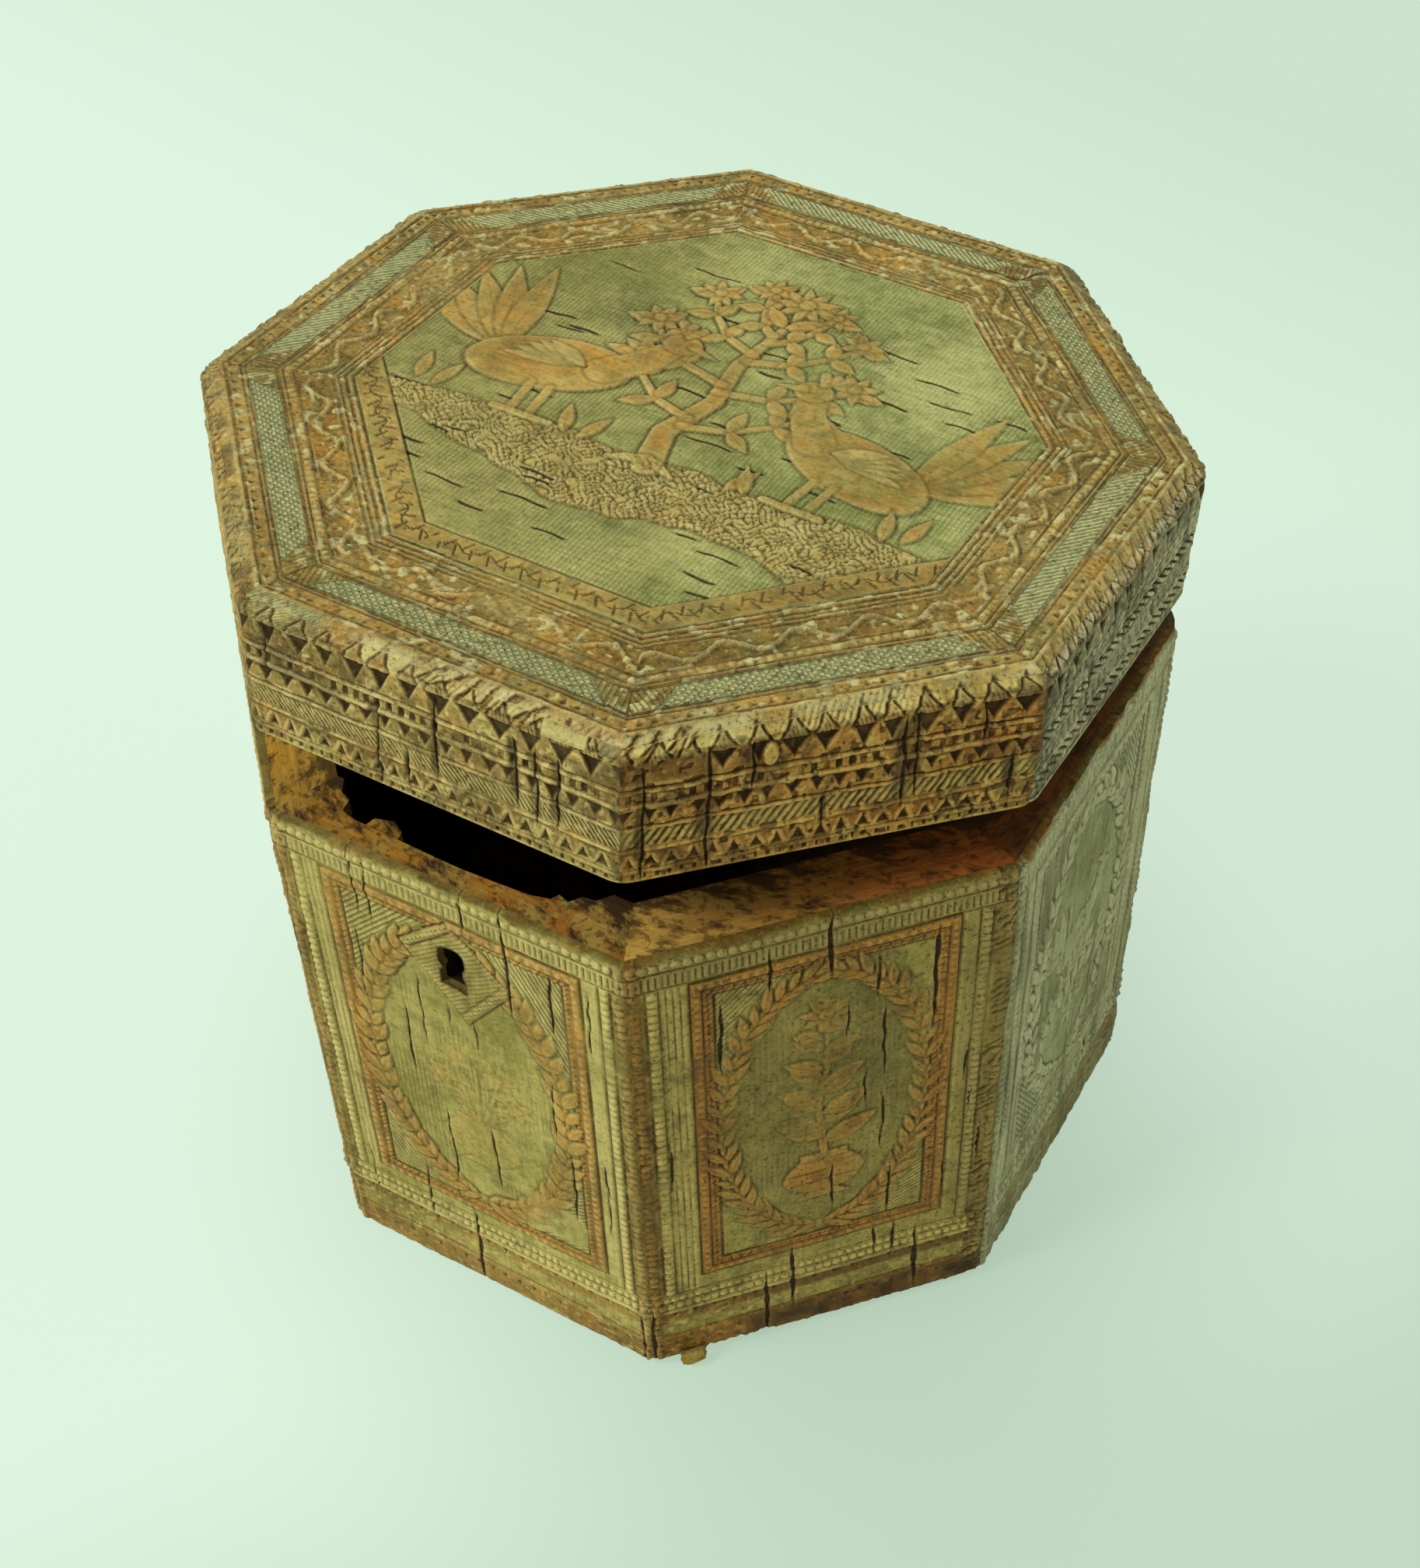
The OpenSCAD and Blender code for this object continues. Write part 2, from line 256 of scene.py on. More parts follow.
def seenAlong(x, y, cx, cy, angle):
    # how far places lie from cx, cy along that angle, and how far across it
    a = math.radians(angle)
    return (x - cx) * math.cos(a) + (y - cy) * math.sin(a), (y - cy) * math.cos(a) - (x - cx) * math.sin(a)


def oval(x, y, cx, cy, rx, ry, turn=0.0):
    # distance to an ellipse, near enough close to its rim, negative inside
    u, v = seenAlong(x, y, cx, cy, turn)
    return (np.sqrt((u / rx) ** 2 + (v / ry) ** 2) - 1) * min(rx, ry)


def stroke(x, y, points, width, endWidth=None):
    # distance to a bent line of points, less its half width, which may taper to another one
    best = np.full_like(x, 1e9)
    endWidth = width if endWidth is None else endWidth
    steps = len(points) - 1
    for i, (p, q) in enumerate(zip(points[:-1], points[1:])):
        px, py, dx, dy = p[0], p[1], q[0] - p[0], q[1] - p[1]
        t = np.clip(((x - px) * dx + (y - py) * dy) / (dx * dx + dy * dy), 0, 1)
        half = (width + (endWidth - width) * (i + t) / steps) / 2
        best = np.minimum(best, np.hypot(x - px - t * dx, y - py - t * dy) - half)
    return best


def leafShape(x, y, px, py, angle, length, width):
    # a pointed oval from its foot outwards; also returns the distance to its midrib
    u, v = seenAlong(x, y, px, py, angle)
    share = np.clip(u / length, 0, 1)
    half = width / 2 * np.sin(math.pi * share ** 0.85)
    beyond = np.maximum(-u, u - length)
    return np.maximum(np.abs(v) - half, beyond), v, u


def addLeaf(carving, px, py, angle, length, width, rise=0.32, rib=0.22, name="orange", amount=1.0):
    distance, v, u = leafShape(carving.x, carving.y, px, py, angle, length, width)
    cover = smooth(0.2, -0.3, distance)
    dome = 0.6 + 0.4 * np.sqrt(np.clip(-distance / (width / 2), 0, 1))
    carving.outline(distance)
    carving.height = carving.height * (1 - cover) + np.maximum(carving.height * 0.5, rise * dome) * cover
    carving.height -= rib * cover * np.clip(1 - np.abs(v) / 0.28, 0, 1) * (u < length * 0.85)
    carving.wipe("dark", cover)
    carving.paint(name, cover, amount)
    carving.calm(smooth(0.5, 0, distance))


def addWreath(carving, cx, cy, rx, ry, pairs, leaf, slim):
    # laurel leaves in pairs on both sides of a stem round an oval, growing up both flanks to the top
    stem = oval(carving.x, carving.y, cx, cy, rx, ry)
    carving.raiseForm(np.abs(stem) - 0.4, 0.2, amount=0.8)
    for side in (-1, 1):
        for i in range(pairs):
            t = math.radians(92 - side * (i + 0.4) * 176 / pairs)
            px, py = cx + rx * math.cos(t), cy + ry * math.sin(t)
            along = math.degrees(math.atan2(side * -ry * math.cos(t), side * rx * math.sin(t)))
            size = leaf * (1 + 0.16 * math.sin(i * 2.3 + side))
            for lean, long in ((-29, size), (31, size * 0.95)):
                addLeaf(carving, px, py, along + side * lean, long, size * slim, 0.24, 0.14, amount=0.85)


def addRosette(carving, cx, cy, radius, petals, turn=0.0, rise=0.45):
    # a ring of leaves that start in the middle, under a raised button
    for i in range(petals):
        addLeaf(carving, cx, cy, turn + 360 * i / petals, radius, radius * 2.1 / petals * 1.5, rise, 0.2)
    carving.raiseForm(oval(carving.x, carving.y, cx, cy, radius * 0.24, radius * 0.24), rise + 0.12, 0.4)


def addStem(carving, points, width, endWidth=None, rise=0.35):
    carving.raiseForm(stroke(carving.x, carving.y, points, width, endWidth), rise, 0.4)


def addVase(carving, cx, foot, wide, tall):
    # a footed vase seen from the side, with bands cut round it
    x, y = carving.x, carving.y
    up = np.clip((foot - y) / tall, 0, 1)
    half = wide * (0.2 + 0.34 * np.sin(math.pi * np.clip((up - 0.16) / 0.84, 0, 1) ** 0.8)
                   + 0.16 * smooth(0.14, 0.0, up) + 0.1 * smooth(0.88, 1.0, up))
    carving.raiseForm(np.maximum(np.abs(x - cx) - half, np.maximum(foot - tall - y, y - foot)), 0.45)
    for share in (0.16, 0.4, 0.62, 0.86):
        inside = smooth(0.3, -0.3, np.abs(x - cx) - half)
        carving.height -= 0.3 * inside * np.clip(1 - np.abs(y - foot + tall * share) / 0.35, 0, 1)


def addBird(carving, cx, cy, size, facing):
    # a folk-art bird: body, neck, head, beak, crest, legs, wing and a fan of tail feathers
    x, y = carving.x, carving.y
    s, f = size, facing

    def at(across, down):
        # a place on the bird, in shares of its size; across grows the way it faces
        return cx + f * across * s, cy + down * s
    for i, lift in enumerate((22, 36, 50, 64, 78)):
        addLeaf(carving, *at(-0.26, 0), 90 + f * (90 + lift), (0.66 + 0.03 * i) * s, 0.15 * s, 0.36, 0.2)
    carving.raiseForm(oval(x, y, cx, cy, 0.40 * s, 0.22 * s, -18 * f), 0.5)
    addStem(carving, [at(0.26, -0.08), at(0.40, -0.28), at(0.44, -0.42)], 0.2 * s, 0.13 * s, 0.45)
    carving.raiseForm(oval(x, y, *at(0.46, -0.46), 0.095 * s, 0.085 * s), 0.55)
    addStem(carving, [at(0.52, -0.46), at(0.66, -0.43)], 0.06 * s, 0.01, 0.4)
    for i in range(3):
        addStem(carving, [at(0.45, -0.53), at(0.36 + 0.06 * i, 0.01 * i - 0.64)], 0.035 * s, 0.05 * s, 0.4)
    for leg in (0.02, 0.12):
        addStem(carving, [at(leg, 0.18), at(leg + 0.03, 0.42)], 0.045 * s)
        addStem(carving, [at(leg - 0.05, 0.43), at(leg + 0.14, 0.42)], 0.045 * s)
    for i in range(5):
        addLeaf(carving, *at(0.16, -0.06), 90 + f * (78 + 9 * i), (0.42 - 0.035 * i) * s, 0.085 * s,
                0.72, 0.16, "pale", 0.45)


def finishCarving(carving, cell, tint):
    # darker below the surroundings, as dirt and painted shade; paler where it stands up, as rubbing and
    # painted highlight
    h = carving.height
    cells = max(2, round(1.0 / cell))
    wide, close = blurred(blurred(h, cells), cells), blurred(h, max(1, round(0.4 / cell)))
    dirtAndShade = np.clip((wide - h) / 0.3, 0, 1) * 0.75 + np.clip((close - h) / 0.14, 0, 1) * 0.5
    rubbedAndHighlight = np.clip((h - wide) / 0.24, 0, 1) * 0.6 + np.clip((h - close) / 0.12, 0, 1) * 0.45
    return np.clip(dirtAndShade, 0, 1), np.clip(rubbedAndHighlight, 0, 1), carving.tint * tint


def newMesh(name, points, quads, polygons=()):
    # a mesh from rows of points in millimetres, quads as index rows and a few larger flat polygons
    mesh = bpy.data.meshes.new(name)
    sizes = np.concatenate([np.full(len(quads), 4), [len(p) for p in polygons]]).astype(np.int32)
    loops = np.concatenate([quads.ravel(), *polygons]).astype(np.int32)
    mesh.vertices.add(len(points))
    mesh.vertices.foreach_set("co", (points * mm).astype(np.float32).ravel())
    mesh.loops.add(len(loops))
    mesh.loops.foreach_set("vertex_index", loops)
    mesh.polygons.add(len(sizes))
    mesh.polygons.foreach_set("loop_start", np.concatenate([[0], np.cumsum(sizes)[:-1]]).astype(np.int32))
    mesh.update(calc_edges=True)
    mesh.validate()
    piece = bpy.data.objects.new(name, mesh)
    bpy.context.scene.collection.objects.link(piece)
    return piece


def setShading(piece, smoothCount):
    # the carved front is smooth, the cut edges and the back are flat
    flat = np.ones(len(piece.data.polygons), bool)
    flat[:smoothCount] = False
    attributes = piece.data.attributes
    attribute = attributes.get("sharp_face") or attributes.new("sharp_face", "BOOLEAN", "FACE")
    attribute.data.foreach_set("value", flat)


def storeCarving(piece, carving, cell, tint, extra):
    # stains, hatching, wear and the painted shade and highlight go to the vertices; extra repeats the values
    # of the rows behind the front
    dirtAndShade, rubbedAndHighlight, shade = finishCarving(carving, cell, tint)
    s = carving.stain
    fields = {
        "stain": np.stack([s["orange"], s["brown"], s["pale"], s["dark"]], -1),
        "hatch": np.stack([carving.phaseA, carving.phaseB, carving.maskA, carving.maskB], -1),
        "wear": np.stack([dirtAndShade, rubbedAndHighlight, shade, np.clip(carving.line + 0.5, 0, 1)], -1)}
    for name, field in fields.items():
        flat = field.reshape(-1, 4)
        behind = flat[extra].copy()
        if name == "hatch":
            behind[:, 2:] = 0
        if name == "stain":
            behind[:] = carving.edge
        attribute = piece.data.attributes.new(name, "FLOAT_COLOR", "POINT")
        attribute.data.foreach_set("color", np.concatenate([flat, behind]).astype(np.float32).ravel())


def gridFaces(rows, columns):
    # the quads of a grid of vertices, counted row by row, and the loop of vertices round its edge
    index = np.arange(rows * columns).reshape(rows, columns)
    quads = np.stack([index[:-1, :-1], index[1:, :-1], index[1:, 1:], index[:-1, 1:]], -1).reshape(-1, 4)
    return quads, np.concatenate([index[0, :-1], index[:-1, -1], index[-1, :0:-1], index[:0:-1, 0]])


def sheetMesh(name, front, back, dropped=None, hole=()):
    # a closed sheet: the grid in front, its boundary repeated on the flat back, and a rim of quads between.
    # Where cells are dropped, the loop of vertices round them is repeated on the back too, and walled.
    rows, columns = front.shape[:2]
    quads, loop = gridFaces(rows, columns)
    behind = np.arange(len(loop)) + rows * columns
    rim = np.stack([loop, np.roll(loop, -1), np.roll(behind, -1), behind], -1)
    backs = [behind]
    if len(hole):
        quads = quads[~dropped.ravel()]
        holeBehind = np.arange(len(hole)) + behind[-1] + 1
        rim = np.concatenate([rim,
                              np.stack([np.roll(hole, -1), hole, holeBehind, np.roll(holeBehind, -1)], -1)])
        # the back is two polygons that meet along lines from the hole to two of the sheet's corners
        half, near, far = rows + columns - 2, len(hole) // 8, len(hole) * 5 // 8
        backs = [np.concatenate([behind[:half + 1], holeBehind[far:near - 1:-1]]),
                 np.concatenate([behind[half:], behind[:1], holeBehind[near::-1], holeBehind[:far - 1:-1]])]
        loop = np.concatenate([loop, hole])
    points = np.concatenate([front.reshape(-1, 3), back.reshape(-1, 3)[loop]])
    piece = newMesh(name, points, np.concatenate([quads, rim]), backs)
    setShading(piece, len(quads))
    return piece, loop


def dropLoose(piece):
    # the vertices inside the keyhole carry no face any more
    shape = bmesh.new()
    shape.from_mesh(piece.data)
    bmesh.ops.delete(shape, geom=[v for v in shape.verts if not v.link_faces], context="VERTS")
    shape.to_mesh(piece.data)
    shape.free()


# What each face of the body shows: the frame round its panel, the wreath, the columns of beads and the tint
bodyFaces = {
    "front": dict(frame=(9, 60, 8, 96), member=3.6, beads=(4.2, 64.6), wreath=(34, 53, 20.5, 37.5),
                  leaf=6.6, tint=0.15, stained=0.12, slim=0.4, pairs=25, kept=0.4, faded=(1, 1, 0),
                  grime=0.3, footDim=0.22, deepGround=0.08, spandrels=(0.4, 0.95, 0.6, 0.5), edges=0.36,
                  dimBand=0.05, grid=(228, 410)),
    "front_right": dict(frame=(10.5, 57, 8, 94.4), member=4.0, beads=(4.3, 61.4),
                        wreath=(33.8, 51, 18.8, 37.0), leaf=6.4, tint=0.8, stained=0.1, slim=0.27, pairs=25,
                        kept=0.8, faded=(0.9, 1, 0), grime=0.42, footDim=0.92, deepGround=0.5,
                        spandrels=(0.5, 0, 0, 0.5), edges=0.6, dimBand=0.35, grid=(224, 416)),
    "right": dict(frame=(7.0, 56.5, 8.5, 95), member=3.6, beads=(3.8, 60.6), wreath=(31.8, 52, 19, 37),
                  leaf=6.6, tint=0.0, stained=0.0, slim=0.34, pairs=22, kept=0.6, faded=(0.08, 0.12, 0.9),
                  grime=0.25, footDim=0.15, deepGround=0.12, spandrels=(0.4, 0.4, 0.4, 0.4), edges=0.4,
                  dimBand=0.1, grid=(220, 420)),
}
hiddenFace = dict(frame=(9, 57.4, 8, 95), member=3.8, beads=(4.4, 62.2), wreath=(33.2, 52, 19, 37),
                  leaf=6.8, tint=0.3, stained=0.2, slim=0.36, pairs=20, kept=0.8, faded=(0.8, 1, 0),
                  grime=0.3, footDim=0.2, deepGround=0.1, spandrels=(0.4, 0.4, 0.4, 0.4), edges=0.45,
                  dimBand=0.1, grid=(116, 208))
# Dark lenticels of the bark and cracks through it: place along the face, from and to, width
lenticels = {
    "front": [(15.7, 0, 16, .4), (18.4, 1, 17, .35), (37.6, 0, 10, .5), (45.6, 0, 26, .45),
              (54, 11, 26, .6), (14, 22, 40, .35), (26, 28, 45, .35), (22, 38, 57, .4), (27.9, 66, 87, .4),
              (37.6, 66, 83, .4), (54.6, 62, 81, .4), (52, 42, 56, .35), (20.4, 88, 105, .4),
              (7, 92, 106, .35), (30.2, 97, 122, .8), (61.3, 12, 27, .35), (61.8, 60, 80, .35),
              (31.8, 33, 37, .35), (37, 35, 41, .35), (66.8, 106, 123, .6)],
    "front_right": [(24, 6, 16, .8), (34.5, 0, 15.5, 1.1), (15.6, 16, 33, .7), (43, 13, 23, .6),
                    (53.2, 10, 34, .6), (37.7, 25, 32, .5), (44.4, 28, 45, .5), (44.6, 53, 68, .5),
                    (41.2, 45, 53, .5), (5.8, 52, 64, .5), (60, 45, 53, .4), (60.8, 57, 62, .35),
                    (28, 94, 113, .9), (44, 94, 103, .6), (48, 95, 104, .7), (52.7, 99, 118, 1.0),
                    (22.7, 102, 121, .9), (46.4, 76, 90, .5), (57, 78, 88, .4), (35.5, 70, 83, .5),
                    (63.4, 70, 80, .4), (.6, 104, 121, .8)],
    "right": [(16, 11, 16, .35), (26, 36, 47, .4), (41, 70, 78, .4), (18.6, 83, 90, .4), (50, 30, 44, .35),
              (34, 60, 70, .35), (9, 60, 74, .35), (45, 96, 104, .4)],
}


def crackLines(carving, lines, k):
    # lenticels and cracks run up the wall, wander a little and taper at their ends
    x, y = carving.x, carving.y
    for i, (at, start, end, width) in enumerate(lines):
        sway = 0.12 * np.sin(y * 0.22 + i * 1.7 + k) + 0.3 * cloud(at + 0 * y, y, 3.2, 80 + i + k)
        taper = np.minimum(y - start, end - y) * 0.08
        half = np.minimum(width * 0.36 * (1 + 0.6 * cloud(at + 0 * y, y, 2.4, 95 + i + k)), taper)
        carving.slit(half - np.abs(x - at - sway), 0.2 + 0.3 * width)


def carveBands(c, name, k, look, wobble):
    # the bands above and below the panel; gives back where the foot is
    x, y = c.x, c.y
    c.beads(x, y - 1.9 - wobble, 1.9, 0.92, 0.5)
    c.groove(y - 3.5 - wobble, 0.4, 0.35)
    c.ticks(x, y - 5.6, 1.35, 1.12, 0.32, 0.38)
    c.groove(y - 7.5 - wobble, 0.35, 0.3)
    c.paint("pale", between(y, 0.2, 1.2, 6.6, 7.6), 0.7)
    c.beads(x + 0.5, y - 100.2 - wobble, 1.55, 0.66, 0.4)
    c.beads(x, y - 102.6 - wobble, 1.7, 0.78, 0.45)
    c.groove(y - 98.8, 0.3, 0.2)
    c.groove(y - 101.4, 0.3, 0.25)
    c.ridge(y - 104.4 - wobble, 0.6, 0.3)
    c.paint("pale", between(y, 99, 100, 104.4, 105.2), 0.45)
    foot = smooth(104.9, 105.6, y)
    c.height -= 0.25 * foot * smooth(113.4, 112.6, y)
    dim = look["footDim"] * smooth(14, 22, x + 3 * wobble) if name == "front_right" else look["footDim"]
    c.paint("brown", between(y, 105, 105.8, 107.6, 109), 0.9)
    c.paint("brown", smooth(112.6, 113.8, y), 0.95)
    c.paint("orange", smooth(112.6, 113.8, y) * (0.5 + 0.5 * cloud(x, y, 9, 77 + k)), 0.7)
    c.paint("dark", smooth(112.4, 114, y) * dim * (0.85 + 0.3 * cloud(x, y, 2.6, 78 + k)))
    c.height += smooth(113, 114, y) * (0.08 * cloud(x, y, 1.4, 84 + k) + 0.05 * cloud(x, y, 0.7, 87 + k))
    c.paint("dark", between(y, 105, 106, 108, 109) * dim * 0.6)
    middle = between(y, 107.4, 108.8, 112.4, 114)
    c.paint("brown", foot * (1 - 0.6 * middle), 0.75 if name == "front" else 0.35)
    c.paint("dark", foot * smooth(0.1, 0.8, cloud(x, y, 3.2, 112 + k)), 0.32)
    c.paint("dark", foot * smooth(0.6, 0.8, cloud(x, y, 0.9, 111 + k)), 0.4)
    notch = c.notches(x + 1, y, 3.9, 105.4, 107.6, 0.85, 0.5, 5 + k)[0]
    c.groove(y - 113.2 - wobble, 0.45, 0.35)
    patchy = smooth(-0.2, 0.3, cloud(x, y, 9, 60 + k))
    second = c.notches(x, y, 3.1, 114.8, 116.9, 0.8, 0.35, 9 + k, patchy)[0]
    c.paint("dark", np.maximum(notch, second), 0.95)
    chips = smooth(0.4, 0.65, cloud(x, y * 1.5, 1.3, 66 + k)) * foot
    c.paint("pale", chips, 0.6)
    c.height += 0.12 * chips
    return foot


def carveStrips(c, look, wobble):
    # the strips beside the panel
    x, y = c.x, c.y
    left, right = look["frame"][:2]
    sideBand = between(y, 7.4, 8.2, 98, 99)
    for side, at in zip((-1, 1), look["beads"]):
        c.beads(y + 0.4 * side, x - at, 1.85, 0.86, 0.5, sideBand)
        c.paint("pale", smooth(1.0, 0.6, np.abs(x - at)) * sideBand, 0.7 - look["dimBand"])
        for edge in (-1.15, 1.15):
            c.groove(np.where(sideBand > 0.5, x - at + edge, 9), 0.3, 0.3)
    inner = (look["beads"][0] + 1.4, left - 0.3)
    for at in np.arange(inner[0] + 0.9, inner[1] - 0.3, 1.15):
        c.height -= 0.26 * np.clip(1 - np.abs(x - at - wobble) / 0.3, 0, 1) * sideBand
    outer = (right + 0.3, look["beads"][1] - 1.4)
    c.paint("pale", smooth(inner[0], inner[0] + 0.8, x) * smooth(inner[1], inner[1] - 0.6, x) * sideBand, 0.6)
    c.paint("pale", smooth(outer[0], outer[0] + 0.6, x) * smooth(outer[1], outer[1] - 0.6, x) * sideBand,
            0.75 - look["dimBand"])
    c.paint("dark", (smooth(8.4, 7.2, y) + smooth(outer[0], outer[0] + 1, x) * sideBand) * look["dimBand"])


def wearCorners(c, name, k, look):
    # the worn upright edges of the face
    x, y = c.x, c.y
    leftWorn = smooth(look["beads"][0] - 0.4, look["beads"][0] - 2.4, x + cloud(x, y, 3, 71 + k) * 0.8)
    rightWorn = smooth(look["beads"][1] + 0.6, look["beads"][1] + 2.2, x + cloud(x, y, 3, 72 + k) * 0.8)
    c.paint("brown", leftWorn + rightWorn, 0.85)
    rough = cloud(x, y, 1.3, 73 + k) * 0.5 + cloud(x, y, 0.7, 74 + k) * 0.4
    c.height += (leftWorn + rightWorn) * rough * 0.28
    for at in (1.3, widths[k] - 1.3):
        c.beads(y + 0.3 * cloud(x, y, 5, 107 + k), x - at, 1.9, 0.9, 0.35, leftWorn + rightWorn)
    c.paint("dark", (leftWorn + rightWorn) * smooth(0.2, -0.6, rough), 0.4 + 0.4 * look["dimBand"])
    c.paint("dark", (leftWorn + rightWorn) * (0.6 + 0.5 * cloud(x, y / 4, 2.2, 109 + k)), 0.42)
    if name == "front_right":
        gouge = (y + 0.5 * x) / 2.1 + 0.8 * cloud(x, y, 4, 75)
        gouge = rightWorn * smooth(0.3, 0.1, np.abs(gouge % 1 - 0.5))
        gouge = gouge * smooth(-0.6, 0.3, cloud(x, y, 2.6, 76))
        c.height -= 0.36 * gouge
        c.wipe("brown", rightWorn * 0.65)
        c.paint("dark", rightWorn * (0.5 + 0.3 * cloud(x, y, 6, 70)) + 0.5 * gouge, 0.72)


def carveFrame(c, k, look):
    # the frame round the panel, its mitred members standing proud; gives back where the panel is
    x, y = c.x, c.y
    left, right, top, low = look["frame"]
    m = look["member"]
    outside = np.maximum(np.maximum(left - x, x - right), np.maximum(top - y, y - low))
    inside = np.maximum(np.maximum(left + m - x, x - right + m), np.maximum(top + m - y, y - low + m))
    member = smooth(0.2, -0.2, outside) * smooth(-0.2, 0.2, inside)
    c.height += 0.16 * member
    c.paint("brown", member, 0.8)
    c.paint("orange", member * (0.85 + 0.3 * cloud(x, y, 5, 79 + k)), 0.9)
    c.groove(outside, 0.42, 0.45)
    c.groove(inside, 0.42, 0.45)
    upright = np.maximum(left - x, x - right) > np.maximum(top - y, y - low)
    run = np.where(upright, y, x)
    c.beads(run, outside + 1.2, 1.9, 0.62, 0.3)
    c.groove(outside + 2.1, 0.25, 0.22)
    c.ticks(run, outside + 2.8, 0.5, 1.9, 0.3, 0.3)
    for edge in (outside, inside, outside + 2.1):
        c.paint("dark", smooth(0.42, 0.1, np.abs(edge)), look["edges"])
    c.groove(inside - 1.1, 0.25, 0.16)
    rope = smooth(-0.1, 0.2, inside) * smooth(1.5, 1.2, inside)
    c.ticks(x + y, inside - 0.75, 0.6, 1.3, 0.35, 0.3, rope)
    return smooth(0.0, -0.4, inside)


def carveBodyFace(name, k, x, y):
    # y runs down from the top of the wall
    look = bodyFaces.get(name, hiddenFace)
    width = widths[k]
    c = Carving(x, y)
    wobble = cloud(x, y, 7, 3 + k) * 0.12
    foot = carveBands(c, name, k, look, wobble)
    carveStrips(c, look, wobble)
    wearCorners(c, name, k, look)
    panel = carveFrame(c, k, look)
    # hatched spandrels, each corner its own way
    cx, cy, rx, ry = look["wreath"]
    ring = oval(x, y, cx, cy, rx, ry)
    spandrel = panel * smooth(2.2, 3.2, ring)
    for (up, across, angle), bright in zip(((1, -1, 47), (1, 1, 118), (-1, -1, 122), (-1, 1, 28)),
                                           look["spandrels"]):
        quarter = spandrel * ((cy - y) * up > 0) * ((x - cx) * across > 0)
        c.paint("pale", quarter, bright)
        if bright:
            c.hatch(quarter, angle, 0.95)
    # ground of the oval, with a slight hollow
    c.height -= 0.12 * panel
    field = smooth(0.2, -1.0, ring)
    c.hatch(field * 0.35 * smooth(-0.1, 0.5, cloud(x, y, 11, 80 + k)), 90, 1.0)
    c.paint("dark", field * (0.7 + 0.3 * cloud(x, y, 7, 83 + k)), look["deepGround"])
    addWreath(c, cx, cy, rx, ry, look["pairs"], look["leaf"], look["slim"])
    before, stains = c.height, dict(c.stain)
    carveMotif(c, name, k, cx, cy)
    kept = look["kept"] * (0.75 + 0.35 * cloud(x, y, 8, 93 + k))
    c.height = before + (c.height - before) * kept
    c.keepStains(stains, kept)
    if name == "front":
        addCartouche(c)
        away = np.maximum(np.abs(x - 50) - 6.5, np.abs(y - 85.5) - 6)
        bare = smooth(0.6, -0.6, away + 1.5 * cloud(x, y, 4, 94))
        c.height = c.height * (1 - bare)
        c.calm(bare)
        c.paint("pale", bare, 0.35)
    bands = c.height.copy()
    c.weather(13, 95 + k, 0.45, 0.45)
    inBand = smooth(8, 7, y) + smooth(98, 99, y)
    c.height = c.height + (bands - c.height) * inBand * 0.7
    c.paint("brown", look["stained"] * (0.7 + 0.5 * cloud(x, y, 10, 97 + k)))
    c.fadeTo(*look["faded"])
    grime = smooth(0.25, 0.9, cloud(x, y, 3.6, 98 + k) + 0.5 * cloud(x, y, 1.1, 99 + k))
    c.paint("dark", grime, look["grime"])
    bared = 0.9
    if name == "right":
        c.edge = (0.8, 1.0, 0.0, 0.62)
        c.paint("brown", foot * (0.25 + 0.7 * x / width) * (0.85 + 0.4 * cloud(x, y, 4, 113)), 0.95)
        c.paint("dark", foot, 0.25)
        streaks = cloud(x, y / 16, 0.9, 86) + 0.6 * cloud(x, y / 9, 2.1, 87)
        c.height += 0.18 * streaks
        c.paint("dark", smooth(0.2, 1.0, streaks), 0.55)
        c.paint("pale", smooth(-0.1, -0.9, streaks), 0.9)
    worn = smooth(bared, bared - 0.8, y + 0.9 * cloud(x, y, 3.5, 81 + k) + 0.3 * cloud(x, y, 1.2, 82 + k))
    c.wipe("pale", worn)
    c.paint("orange", worn, 0.9 if name == "right" else 0.1)
    c.paint("brown", worn, 1.0 if name == "right" else 0.6)
    c.paint("dark", worn * smooth(-0.2, 0.5, cloud(x, y, 2.2, 85 + k)), 0.8 if name == "right" else 0.5)
    crackLines(c, lenticels.get(name) or randomLenticels(k, width), k)
    c.height += 0.05 * cloud(x, y, 2.2, 90 + k) + 0.14 * cloud(x, y, 16, 91 + k)
    return c


def randomLenticels(k, width):
    rng = np.random.default_rng(500 + k)
    lines = []
    for _ in range(20):
        start = rng.uniform(0, 108)
        lines.append((rng.uniform(3, width - 3), start, start + rng.uniform(8, 20), rng.uniform(0.35, 0.7)))
    return lines


